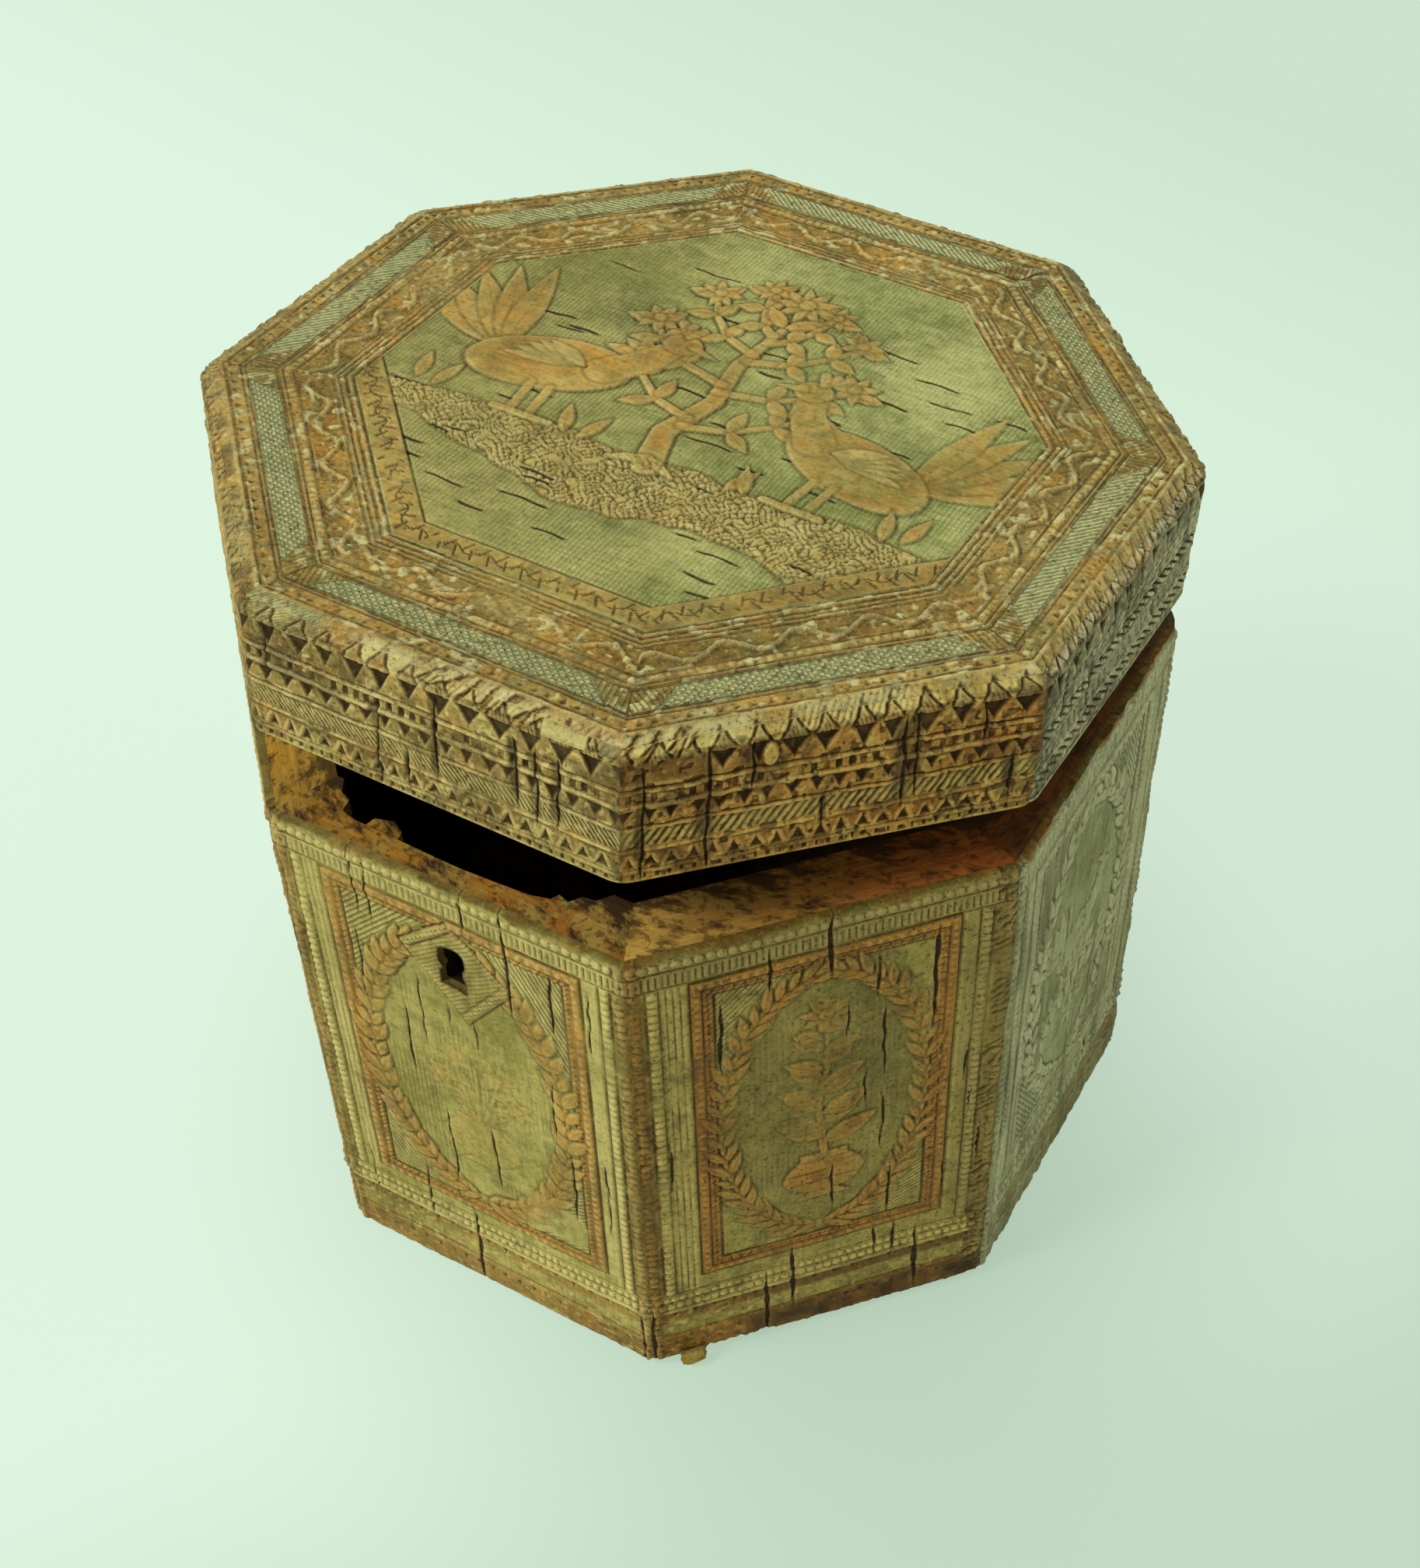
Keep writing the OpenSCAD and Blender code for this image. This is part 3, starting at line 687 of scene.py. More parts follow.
def addCartouche(c):
    # the plain lozenge round the keyhole, with a beaded edge below on the right and above on the left
    x, y = c.x, c.y
    corners = [(34, 8.6), (46.4, 20.5), (36, 35.2), (23.6, 18.4)]
    away = np.full_like(x, -1e9)
    for p, q in zip(corners, corners[1:] + corners[:1]):
        length = math.hypot(q[0] - p[0], q[1] - p[1])
        away = np.maximum(away, ((x - p[0]) * (q[1] - p[1]) - (y - p[1]) * (q[0] - p[0])) / length)
    cover = smooth(0.3, -0.3, away)
    c.height = c.height * (1 - cover) + 0.14 * cover
    for name in ("orange", "pale", "dark"):
        c.wipe(name, cover)
    c.paint("brown", cover, 0.45)
    c.paint("pale", cover, 0.2)
    c.calm(cover)
    c.hatch(cover * 0.4, 38, 0.9)
    c.groove(away, 0.4, 0.5)
    for (px, py), (qx, qy) in ((corners[1], corners[2]), (corners[3], corners[0])):
        length = math.hypot(qx - px, qy - py)
        ux, uy = (qx - px) / length, (qy - py) / length
        along, across = (x - px) * ux + (y - py) * uy, (x - px) * uy - (y - py) * ux
        edge = smooth(0.6, 1.2, along) * smooth(length - 0.6, length - 1.2, along)
        c.groove(np.where(edge > 0.5, across + 2.3, 9), 0.35, 0.4)
        c.beads(along, across + 1.25, 1.25, 0.62, 0.3, edge)
    hole = oval(x, y, 34.3, 20.9, 4.4, 6.8)
    c.height -= 0.3 * smooth(1.2, -1.2, hole)
    c.paint("dark", smooth(0.4, -2.0, hole), 0.4)
    c.paint("dark", smooth(0.5, 0.2, keyholeAway(x, y)), 0.95)
    c.paint("pale", smooth(1.3, 0.6, keyholeAway(x, y)) * (x - 34.3 > y - 19), 0.7)


def carveMotif(c, name, k, cx, cy):
    # a plant or a bird in each oval, a different one from face to face
    motif = {"front": 0, "front_right": 1, "right": 2}.get(name, 1 + k % 3)
    foot = cy + 26
    if motif == 0:
        addVase(c, cx + 1, foot, 15, 15)
        for dx, tall in ((-7, 10), (-3.6, 17), (1, 20), (5.6, 16), (9, 9)):
            tip = (cx + 1 + dx, foot - 15 - tall)
            addStem(c, [(cx + 1 + dx * 0.2, foot - 15), (cx + 1 + dx * 0.75, foot - 15 - tall * 0.6), tip],
                    0.9, 0.6)
            addRosette(c, tip[0], tip[1], 3.9, 6, dx * 9)
        for dx, dy, angle in ((-3, -5, 205), (4.6, -5, -25), (-5, -9.5, 215), (7, -9.6, -38), (-1.5, -9, 240),
                              (3, -11, -60)):
            addLeaf(c, cx + 1 + dx * 0.6, foot - 15 + dy, angle, 5.6, 2.4)
    elif motif == 1:
        addVase(c, cx, foot + 2, 14, 14)
        spine = [(cx, foot - 12), (cx - 1.2, foot - 26), (cx + 0.6, foot - 40), (cx, foot - 50)]
        addStem(c, spine, 1.3, 0.7)
        for i in range(8):
            side = -1 if i % 2 else 1
            y = foot - 15 - i * 4.3
            addLeaf(c, cx - 0.4, y, -90 + side * 62, 11.5 - 0.7 * i, 4.9 - 0.2 * i, 0.5)
            addLeaf(c, cx - 0.4, y - 1.6, -90 - side * 54, 9.6 - 0.5 * i, 4.2 - 0.15 * i, 0.45)
        addRosette(c, cx, foot - 52, 5.2, 8, 10, 0.5)
    elif motif == 2:
        addBird(c, cx - 1, cy - 2, 21, 1)
        angles = np.radians(np.linspace(200, 318, 13))
        branch = list(zip(cx + 2 + 22 * np.cos(angles), cy + 30 + 22 * np.sin(angles)))
        addStem(c, branch, 1.5, 0.8)
        for i, (px, py) in enumerate(branch[1:-1]):
            addLeaf(c, px, py, -90 + (i - 5) * 13, 6.2, 2.6)
            addLeaf(c, px, py, 90 + (i - 5) * 9, 6.6, 2.7)
        addRosette(c, cx + 1, cy + 21, 4.6, 7)
    else:
        for i in range(3):
            addRosette(c, cx, cy - 17 + 17 * i, 6.6 if i == 1 else 5.2, 8, 22 * i)
        for side in (-1, 1):
            wave = [(cx + side * (6.5 + 2.0 * math.sin(t * 0.32)), cy - 24 + t) for t in range(0, 49, 4)]
            addStem(c, wave, 0.9, 0.6)
            for i, (px, py) in enumerate(wave[1:-1]):
                addLeaf(c, px, py, -90 + side * (50 if i % 2 else -58), 5, 2.1)


def footProfile(z):
    # how far the worn foot lies inside the face at height z, and which way the surface looks there
    r = body["footRadius"]
    inset = np.where(z < r, r - np.sqrt(np.clip(r * r - (r - np.minimum(z, r)) ** 2, 0, None)), 0.0)
    out = np.where(z < r, (r - inset) / r, 1.0)
    up = np.where(z < r, (z - r) / r, 0.0)
    return inset, out, up


def cornerWear(corner, z, top):
    # how much is rubbed off the edge between two faces, more at its ends
    at = z * 0 + corner * 50.0
    noise = 0.5 + 0.5 * cloud(z, at, 9, 7) + 0.35 * cloud(z, at, 2.6, 8)
    ends = smooth(5, 0, z) + smooth(top - 4, top, z)
    return body["wear"] * np.clip(noise, 0, 1.2) + 0.5 * ends


def edgeWear(k, x, z, top, reach, other=0):
    # what is rubbed off face k within that reach of its two ends; other sets the lid's noise apart
    near, far = (np.clip(1 - away / reach, 0, 1) ** 2 for away in (x, widths[k] - x))
    return (cornerWear(k + other, z[:, 0], top)[:, None] * near
            + cornerWear((k + 1) % 8 + other, z[:, -1], top)[:, None] * far)


# Where the foot of the front right sheet has lost its bark
bareFoot = dict(start=10.0, length=17.0, height=3.0)


def bareFootShape(x):
    # share of the bare height along the face, with ragged ends
    start, end = bareFoot["start"], bareFoot["start"] + bareFoot["length"]
    ragged = 0.82 + 0.18 * np.sin(x * 2.1) * np.sin(x * 0.9 + 1)
    return smooth(start, start + 1.4, x) * smooth(end, end - 2.6, x) * ragged


keyhole = dict(across=34.3, centre=19.6, half=2.55, headTop=15.6, headFoot=21.0, footEnd=26.2)


def keyholeAway(x, y):
    # distance outside the keyhole, near enough: a squarish head, a waist, and a foot worn towards the left
    u = x - keyhole["across"]
    middle = (keyhole["headTop"] + keyhole["headFoot"]) / 2
    tall = (keyhole["headFoot"] - keyhole["headTop"]) / 2
    head = ((np.abs(u) / keyhole["half"]) ** 3 + (np.abs(y - middle) / tall) ** 3) ** (1 / 3) - 1
    left = -2.75 + 0.75 * np.exp(-((y - 21.4) / 0.8) ** 2)
    right = 2.1 - 0.25 * np.exp(-((y - 21.6) / 1.2) ** 2)
    foot = np.maximum(np.maximum(left - u, u - right),
                      np.maximum(middle - y, y - keyhole["footEnd"] - 0.15 * u))
    return np.minimum(head * keyhole["half"], foot)


def insideKeyhole(x, y):
    return keyholeAway(x, y) < 0


def cutKeyhole(x, y):
    # drops the cells inside the keyhole and pulls the vertices round them onto its outline
    dropped = insideKeyhole((x[:-1, :-1] + x[1:, 1:]) / 2, (y[:-1, :-1] + y[1:, 1:]) / 2)
    following = {}
    for i, j in np.argwhere(dropped):
        corners = [(i, j), (i + 1, j), (i + 1, j + 1), (i, j + 1)]
        beside = [(i, j - 1), (i + 1, j), (i, j + 1), (i - 1, j)]
        following.update({corners[(n + 1) % 4]: corners[n] for n in range(4) if not dropped[beside[n]]})
    rim = [min(following, key=lambda corner: corner[1])]
    while following[rim[-1]] != rim[0]:
        rim.append(following[rim[-1]])
    rows, columns = np.array(rim).T
    cx, cy = keyhole["across"], keyhole["centre"]
    angle = np.arctan2(y[rows, columns] - cy, x[rows, columns] - cx)
    steps = np.linspace(0, 10, 400)[None, :]
    inside = insideKeyhole(cx + steps * np.cos(angle)[:, None], cy + steps * np.sin(angle)[:, None])
    reach = (steps * inside).max(1)
    x, y = x.copy(), y.copy()
    x[rows, columns], y[rows, columns] = cx + reach * np.cos(angle), cy + reach * np.sin(angle)
    return x, y, dropped, rows * x.shape[1] + columns


def barkOnWall(name, k):
    look = bodyFaces.get(name, hiddenFace)
    columns, rows = look["grid"]
    share = np.linspace(0, 1, columns)[None, :]
    down = np.linspace(0, 1, rows)[:, None]
    left, right = faceEnds(k, 0.0)
    along = left + (right - left) * share
    slope = math.tan(math.radians(body["bevelSlope"]))
    depth = normals[k][1] * distances[k] + alongs[k][1] * along
    top = body["height"] - np.clip(depth - pinPlace[1], 0, None) * slope
    lowest = body["barkFoot"] + 0 * share
    if name == "front_right":
        lowest = lowest + bareFoot["height"] * bareFootShape(along - left)
    z = top + (lowest - top) * down
    x = along - left + 0 * z
    y = body["height"] - z
    dropped, hole = None, ()
    if name == "front":
        x, y, dropped, hole = cutKeyhole(x, y)
        z = body["height"] - y
    c = carveBodyFace(name, k, x, y)
    c.height -= 0.22 * smooth(0.9, 0.0, y) * (0.6 + 0.4 * cloud(x, y, 2.2, 31 + k))
    inset, out, up = footProfile(z)
    edge = smooth(0, 1.2, x) * smooth(0, 1.2, widths[k] - x)
    raised = c.height * edge
    facesBack = normals[k][1] > 0.5
    if facesBack:
        # no relief beside the bevel, where the open lid comes down
        raised -= np.clip(raised, 0, None) * smooth(4, 1.5, y)
    inset = inset + edgeWear(k, x, z, body["height"], body["wearReach"]) - raised * out
    front = onFace(k, x / widths[k], inset, z + raised * up)
    behindDepth = depth - body["bark"] * normals[k][1]
    backTop = np.minimum(z, body["height"] - np.clip(behindDepth - pinPlace[1], 0, None) * slope
                         if facesBack else z)
    back = onFace(k, x / widths[k], np.full_like(z, body["bark"]), backTop)
    piece, loop = sheetMesh("carved_bark_" + name, front, back, dropped, hole)
    storeCarving(piece, c, body["height"] / rows, look["tint"], loop)
    if len(hole):
        dropLoose(piece)
    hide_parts("bark_" + name)
    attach(piece, "box")
    return piece


pieces = {}
for k, name in enumerate(faceNames):
    pieces["wall_" + name] = barkOnWall(name, k)
print("body bark:", len(faceNames), "sheets")

# What each side of the lid shows: cracks and stains as place along the side, from and to, width
lidSides = {
    "front": dict(tint=0.15, orange=0.2, dull=0.85, rough=0.25, grid=(430, 176), faded=(1, 1, 0),
                  cracks=[(25.2, 8, 23.5, .5), (36, 3, 18, .45), (50.5, 4, 17, .5), (54, 5, 19, .6),
                          (57.8, 5, 18, .6), (30.6, 16, 22, .35), (4.5, 4, 12, .3)]),
    "front_right": dict(tint=0.7, orange=0.8, dull=0.9, rough=1.0, grid=(420, 176), faded=(1, 1, 0),
                        cracks=[(13.5, 1, 24, .9), (20.5, 1, 10, .9), (44.5, 2, 19, .9), (46.5, 1, 17, .6),
                                (57.3, 1, 9, .8), (62.5, 13, 21, .8), (3.4, 3, 24, .6), (32, 14, 20, .35)]),
    "right": dict(tint=0.0, orange=0.0, dull=1.0, rough=0.4, grid=(400, 150), faded=(0.2, 0.5, 0.2),
                  cracks=[(8, 3, 12, .5), (19, 8, 20, .4), (33, 2, 14, .5), (47, 6, 21, .4),
                          (58, 3, 13, .4)]),
}
hiddenLidSide = dict(tint=0.25, orange=0.3, dull=0.6, rough=0.4, grid=(150, 64), faded=(0.8, 1, 0),
                     cracks=[(9, 3, 16, .6), (27, 6, 21, .5), (45, 2, 13, .7), (56, 5, 18, .4)])
chamferLength = math.hypot(lid["chamferWidth"], lid["chamferHeight"])
# The triangles on the chamfer and those below it stand base to base, on one pitch
triangles = dict(pitch=5.3, shift=2.6)


def carveChamfer(c, along, y, k):
    # outlined triangles, point up, stand side by side on the chamfer and end above the notches of the side;
    # y is the way down from the crease, negative on the chamfer
    on = smooth(-chamferLength - 0.3, -chamferLength + 0.1, y) * smooth(1.5, 1.2, y)
    shifted, pitch = along + triangles["shift"], triangles["pitch"]
    n = np.floor(shifted / pitch)
    side = c.notches(shifted, y, pitch, 1.2, -2.9, 2.0, 0.0, 30 + k, on)[1]
    rim = smooth(0.45, 0.15, np.abs(side - 0.1)) * (y > -3.2) * on
    inner = smooth(0.2, 0.5, side) * on
    c.height -= (0.36 if k == 1 else 0.24) * rim
    c.height += 0.12 * inner
    loose = smooth(0.0, 0.5, cloud(along, y, 7, 21 + k))
    cuts = np.clip(1 - np.abs((along / 0.7 - 0.35 * y) % 1 - 0.5) * 0.7 / 0.2, 0, 1) * smooth(-1.4, -0.4, y)
    cuts = cuts * smooth(-0.5, 0.4, scrambled(n, 28 + k))
    c.height -= 0.2 * cuts * inner
    slant = np.clip(1 - np.abs(((along * 0.9 + y * 0.5) / 1.0) % 1 - 0.5) / 0.3, 0, 1) * loose * (1 - inner)
    c.height -= 0.2 * slant * on
    c.paint("brown", on, 0.9)
    c.paint("orange", on * (0.45 + 0.55 * cloud(along, y, 9, 23 + k)), 0.8)
    c.paint("pale", on * (1 - inner) * smooth(-0.3, 0.7, cloud(along, y, 6, 22 + k)), 0.7 if k else 0.9)
    c.paint("pale", inner * smooth(-0.2, -2.2, y) * (0.6 + 0.4 * scrambled(n, 26 + k)), 0.5)
    # facets that lean on each other where the triangles are chipped
    lean = {0: between(along, 31, 33, 54.5, 56), 1: smooth(13, 11, along), 2: 0.7}.get(k, 0.25)
    lean = lean * smooth(0.1, -0.6, y) * on
    share = (along / 3.3 + 0.3 * y + 0.35 * cloud(along, y, 4, 29 + k)) % 1
    c.height += lean * (0.55 * share - 0.3)
    c.wipe("pale", lean * 0.7)
    c.paint("orange", lean, 0.5)
    # painted highlight and shade: each facet is painted pale on its raised side and dark at the crease at its
    # foot, with dark flecks
    c.paint("pale", lean * smooth(0.15, 0.5, share) * (0.7 + 0.6 * cloud(along, y, 2.6, 31 + k)),
            0.8 if k == 0 else 0.6)
    c.paint("dark",
            lean * (smooth(0.24, 0.05, share) + 0.5 * smooth(0.3, 0.8, cloud(along, y, 1.9, 35 + k))), 0.7)
    if k > 2:
        c.wipe("pale", 0.5 * on)
        c.paint("dark", on * smooth(0.1, 0.6, cloud(along, y, 2.4, 36 + k)), 0.6)
    rim = rim * (1 - 0.75 * lean)
    c.paint("dark", rim * (0.65 + 0.3 * scrambled(n, 27 + k)), 0.8 if k == 1 else 0.55)
    c.paint("dark", inner * (0.7 + 0.4 * scrambled(n, 32 + k)) * smooth(-2.6, -1.4, y) * (1 - lean),
            0.5 if k else 0.3)
    c.paint("dark", (cuts * inner + slant * on * 0.7) * (1 - lean), 0.6)
    if k == 0:
        # the mossy end, scratched both ways
        mossy = smooth(15, 13, along + cloud(along, y, 4, 33)) * on
        scratches = np.abs(((along + 1.2 * y) / 0.9 + 0.6 * cloud(along, y, 2, 34)) % 1 - 0.5)
        for stain in ("orange", "brown"):
            c.wipe(stain, mossy * 0.7)
        c.paint("dark", mossy * smooth(0.25, 0.1, scratches), 0.7)
    broken = smooth(0.9, 0.2, np.abs(y))
    c.height += broken * (0.26 * cloud(along, y * 1.7, 1.9, 24 + k) - 0.08)
    c.paint("dark", broken * smooth(0.3, 0.7, cloud(along, y, 2.3, 25 + k)), 0.7 if k else 0.5)


def carveLidSide(name, k, x, y):
    # y runs down from the crease below the chamfer, and is negative on the chamfer
    look = lidSides.get(name, hiddenLidSide)
    c = Carving(x, y)
    y = y + cloud(x, y, 9, 43 + k) * 0.2 + cloud(x, y, 2.6, 42 + k) * 0.1 * look["rough"]
    below = smooth(0.2, 0.8, y)
    rough = cloud(x, y, 3.1, 48 + k)
    wide = cloud(x, y, 12, 57 + k)
    c.paint("brown", (0.6 if name == "front" else 0.75) - 0.25 * wide)
    c.paint("orange", below * (look["orange"] + 0.35 * cloud(x, y, 6, 44 + k)))
    rowA = below
    if name == "front_right":
        plain = between(x, 0.2, 1.4, 12.6, 13.4)
        rowA = below * (1 - plain)
        c.paint("orange", plain * smooth(0.6, 1.2, y) * smooth(5.4, 4.8, y), 0.8)
        c.paint("dark", plain * smooth(0.6, 1.2, y) * smooth(5.4, 4.8, y) * (0.7 + 0.4 * rough), 0.4)
        c.paint("pale", plain * smooth(5.0, 5.2, y) * smooth(5.8, 5.5, y), 0.7)
    dark, side = c.notches(x + triangles["shift"], y, triangles["pitch"], 1.3, 5.7, 2.3, 0.9, 30 + k, rowA)
    c.paint("orange", smooth(-0.1, -0.6, side) * smooth(1.7, 2.2, y) * smooth(5.9, 5.4, y) * rowA,
            look["orange"])
    c.groove(np.where(y > 0, y - 6.15, 9), 0.3, 0.42)
    c.ridge(y - 6.85, 0.4, 0.22)
    for at in (7.25, 9.05):
        c.groove(y - at, 0.25, 0.2)
    n, u = repeats(x, 2.05, 0.2, 50 + k)
    dent = smooth(0.62, 0.4, np.abs(u) + 0.1 * (y - 8.2) ** 2) * smooth(7.2, 7.5, y) * smooth(9.2, 8.7, y)
    dent = dent * (0.55 + 0.45 * scrambled(n, 51 + k)) * (name != "right")
    c.height -= 0.55 * dent
    dark = np.maximum(dark, dent)
    c.ridge(y - 9.65, 0.42, 0.3)
    dark = np.maximum(dark, c.notches(x + 1.4, y, 3.75, 10.25, 13.3, 1.6, 0.75, 34 + k)[0])
    c.groove(y - 13.6, 0.3, 0.36)
    c.ridge(y - 14.05, 0.32, 0.2)
    band = between(y, 14.3, 14.6, 17.5, 17.8)
    steep, pitch = {"front": (-0.75, 0.95), "front_right": (0.62, 1.45)}.get(name, (0.6, 1.2))
    bars = (x + steep * (y - 16)) / pitch + 0.25 * cloud(x, y, 5, 49 + k)
    bars = smooth(0.32, 0.12, np.abs(bars % 1 - 0.5)) * band * (0.8 + 0.25 * cloud(x, y, 2.5, 60 + k))
    if name == "right":
        for centre, half, slant in ((8.2, 1.9, 1.5), (12.0, 1.4, -1.5), (16, 2.1, 1.5), (20.6, 1.9, -1.5)):
            strip = smooth(half, half - 0.2, np.abs(y - centre))
            count = (x + slant * (y - centre)) / 2.3 + 0.12 * cloud(x, y, 5, 69)
            cuts = smooth(0.34, 0.12, np.abs(count % 1 - 0.5) + 0.1 * np.abs(y - centre) / half) * strip
            c.height = c.height * (1 - 0.6 * strip) - 0.5 * cuts
            c.paint("dark", cuts * (0.9 + 0.4 * cloud(x, y, 3, 64)), 0.9)
            c.paint("pale", (strip - cuts) * smooth(-0.5, 0.5, cloud(x, y, 5, 65)), 0.8)
            c.calm(strip)
    c.height -= 0.05 * band + 0.26 * bars
    c.wipe("orange", band * 0.7)
    c.wipe("brown", band * 0.4)
    c.paint("pale", band, 0.5)
    c.ridge(y - 18.35, 0.42, 0.3)
    fourth, side = c.notches(x + 0.6, y, 3.4, 22.2, 19.3, 1.3, 0.6, 38 + k)
    dark = np.maximum(dark, fourth * (0.6 + 0.5 * cloud(x, y, 5, 39 + k)))
    zigzag = smooth(0.5, 0.2, np.abs(side + 0.3)) * smooth(19.0, 19.3, y) * smooth(22.4, 22.1, y)
    c.height += 0.16 * zigzag
    c.paint("pale", zigzag, 0.4)
    c.groove(y - 22.5, 0.25, 0.2)
    n, u = repeats(x, 1.95, 0.16, 52 + k)
    gap = smooth(0.62, 0.8, np.abs(u)) * smooth(23.3, 23.6, y) * smooth(24.5, 24.2, y)
    c.height -= 0.4 * gap
    dark = np.maximum(dark, gap * (0.75 + 0.25 * scrambled(n, 53 + k)))
    c.weather(8, 56 + k, 0.55)
    c.paint("dark", dark, 0.9)
    # painted highlight: the ridge tops are painted pale, as rubbing and as the light that catches them
    for at, amount in ((6.85, 0.45), (9.65, 0.7), (14.05, 0.4), (18.35, 0.65), (22.9, 0.5)):
        c.paint("pale", smooth(0.4, 0.15, np.abs(y - at)) * (0.7 + 0.5 * cloud(x, y, 4, 45 + k)), amount)
    flecks = smooth(0.45, 0.7, cloud(x, y, 1.1, 58 + k) + 0.3 * cloud(x, y, 5, 59 + k)) * below
    c.paint("pale", flecks * (1 - dark), 0.75)
    c.height += flecks * 0.1
    c.paint("dark", bars, 0.78)
    grime = smooth(0.1, 0.7, cloud(x, y, 4.5, 62 + k) + 0.6 * cloud(x, y, 1.3, 63 + k))
    c.paint("dark", grime * below * (1 - 0.7 * band), look["dull"] * 0.6)
    chips = smooth(0.35, 0.6, cloud(x, y, 1.5, 66 + k) + 0.5 * cloud(x, y, 0.7, 67 + k))
    chips = chips * below * look["rough"] * (1 - 0.8 * band)
    c.height -= 0.22 * chips
    c.paint("dark", chips, look["dull"] * 0.7)
    # painted shadow: a dark band just below each ridge, where its shadow falls
    for at in (10.3, 14.6, 18.95, 23.4):
        c.paint("dark", smooth(0.45, 0.1, np.abs(y - at)) * smooth(-0.4, 0.4, cloud(x, y, 3, 68 + k)),
                look["dull"] * 0.6)
    c.height += 0.1 * rough + 0.14 * look["rough"] * cloud(x, y, 1.3, 46 + k)
    c.fadeTo(*look["faded"])
    carveChamfer(c, x, y, k)
    crackLines(c, [(at, start, end, 0.6 * width) for at, start, end, width in look["cracks"]], k)
    # painted shade: along the left side of each crack the bark is painted dark and sunk a little
    for at, start, end, width in look["cracks"]:
        reach = smooth(start - 1, start + 1, y) * smooth(end + 1, end - 2, y)
        stain = smooth(width * 2.6, width * 0.7, np.abs(x - at + 0.4 * width + 0.3 * rough))
        stain = stain * reach * (0.75 + 0.4 * rough)
        c.paint("dark", stain, 0.8)
        c.height -= 0.25 * stain
    if name == "front_right":
        c.raiseForm(oval(x, y, 23, 3.8, 1.15, 2.2), 0.35, 0.5, "pale")
    if name == "front":
        flake = np.maximum(np.maximum(55.5 - x, np.abs(y + 1.3) - 1.8), x - 62.6) + 0.6 * rough
        cover = smooth(0.3, -0.3, flake)
        for stain in ("orange", "brown", "dark"):
            c.wipe(stain, cover * 0.85)
        c.paint("pale", cover, 0.5)
        c.height = c.height * (1 - cover) + 0.25 * cover
        corner = smooth(62.6, 63.6, x + 0.7 * rough) * smooth(1.2, 0.2, y)
        c.paint("brown", corner)
        c.paint("dark", corner * (0.75 + 0.4 * cloud(x, y, 1.6, 61)), 0.6)
    worn = smooth(1.9, 0.2, x + 0.5 * rough) + smooth(widths[k] - 1.9, widths[k] - 0.2, x + 0.5 * rough)
    c.paint("dark", worn * 0.6 * smooth(-0.5, 0.3, rough))
    c.height *= 1 - 0.6 * np.clip(worn, 0, 1)
    c.height += 0.1 * cloud(x, y, 11, 47 + k)
    c.tint = smooth(0.0, 1.6, y)
    c.height *= smooth(lid["crease"], lid["crease"] - 0.7, c.y)
    c.paint("pale", smooth(lid["crease"] - 0.5, lid["crease"] - 0.3, c.y), 0.8)
    return c


def barkOnRim(name, k):
    look = lidSides.get(name, hiddenLidSide)
    columns, rows = look["grid"]
    share = np.linspace(0, 1, columns)[None, :]
    left, right = faceEnds(k, 0.0)
    along = left + (right - left) * share
    depth = normals[k][1] * distances[k] + alongs[k][1] * along
    slope = math.tan(math.radians(body["bevelSlope"]))
    lowest = np.clip(depth - pinPlace[1], 0, None) * slope
    topDown = -lid["bark"] / lid["chamferWidth"] * chamferLength
    down = topDown + (lid["crease"] - lowest - topDown) * np.linspace(0, 1, rows)[:, None]
    x = along - left + 0 * down
    c = carveLidSide(name, k, x, down)
    slopeShare = smooth(0.35, -0.35, down)
    inset = np.clip(-down, 0, None) * lid["chamferWidth"] / chamferLength
    z = lid["crease"] - np.where(down > 0, down, down * lid["chamferHeight"] / chamferLength)
    out = 1 + (lid["chamferHeight"] / chamferLength - 1) * slopeShare
    up = lid["chamferWidth"] / chamferLength * slopeShare
    wear = edgeWear(k, x, z, lid["crease"], lid["wearReach"], 20) * lid["wear"]
    keep = smooth(topDown, topDown + 0.4, down)
    raised = c.height * smooth(0, 0.9, x) * smooth(0, 0.9, widths[k] - x) * keep
    facesBack = normals[k][1] > 0.5
    if facesBack:
        # no relief beside the bevel here either
        raised -= np.clip(raised, 0, None) * smooth(4, 1.5, z - lowest)
    front = onFace(k, share + 0 * z, inset + wear * keep - raised * out, z + raised * up)
    behindDepth = depth - lid["bark"] * normals[k][1]
    backLow = np.clip(behindDepth - pinPlace[1], 0, None) * slope if facesBack else 0 * lowest
    backZ = np.maximum(np.where(z > lowest + 0.01, z, 0), backLow)
    back = onFace(k, share + 0 * z, np.full_like(z, lid["bark"] + 0.02), backZ)
    piece, loop = sheetMesh("carved_rim_" + name, onLid(front), onLid(back))
    storeCarving(piece, c, lid["height"] / rows, look["tint"], loop)
    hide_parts("lid_bark_" + name)
    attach(piece, "lid")
    return piece


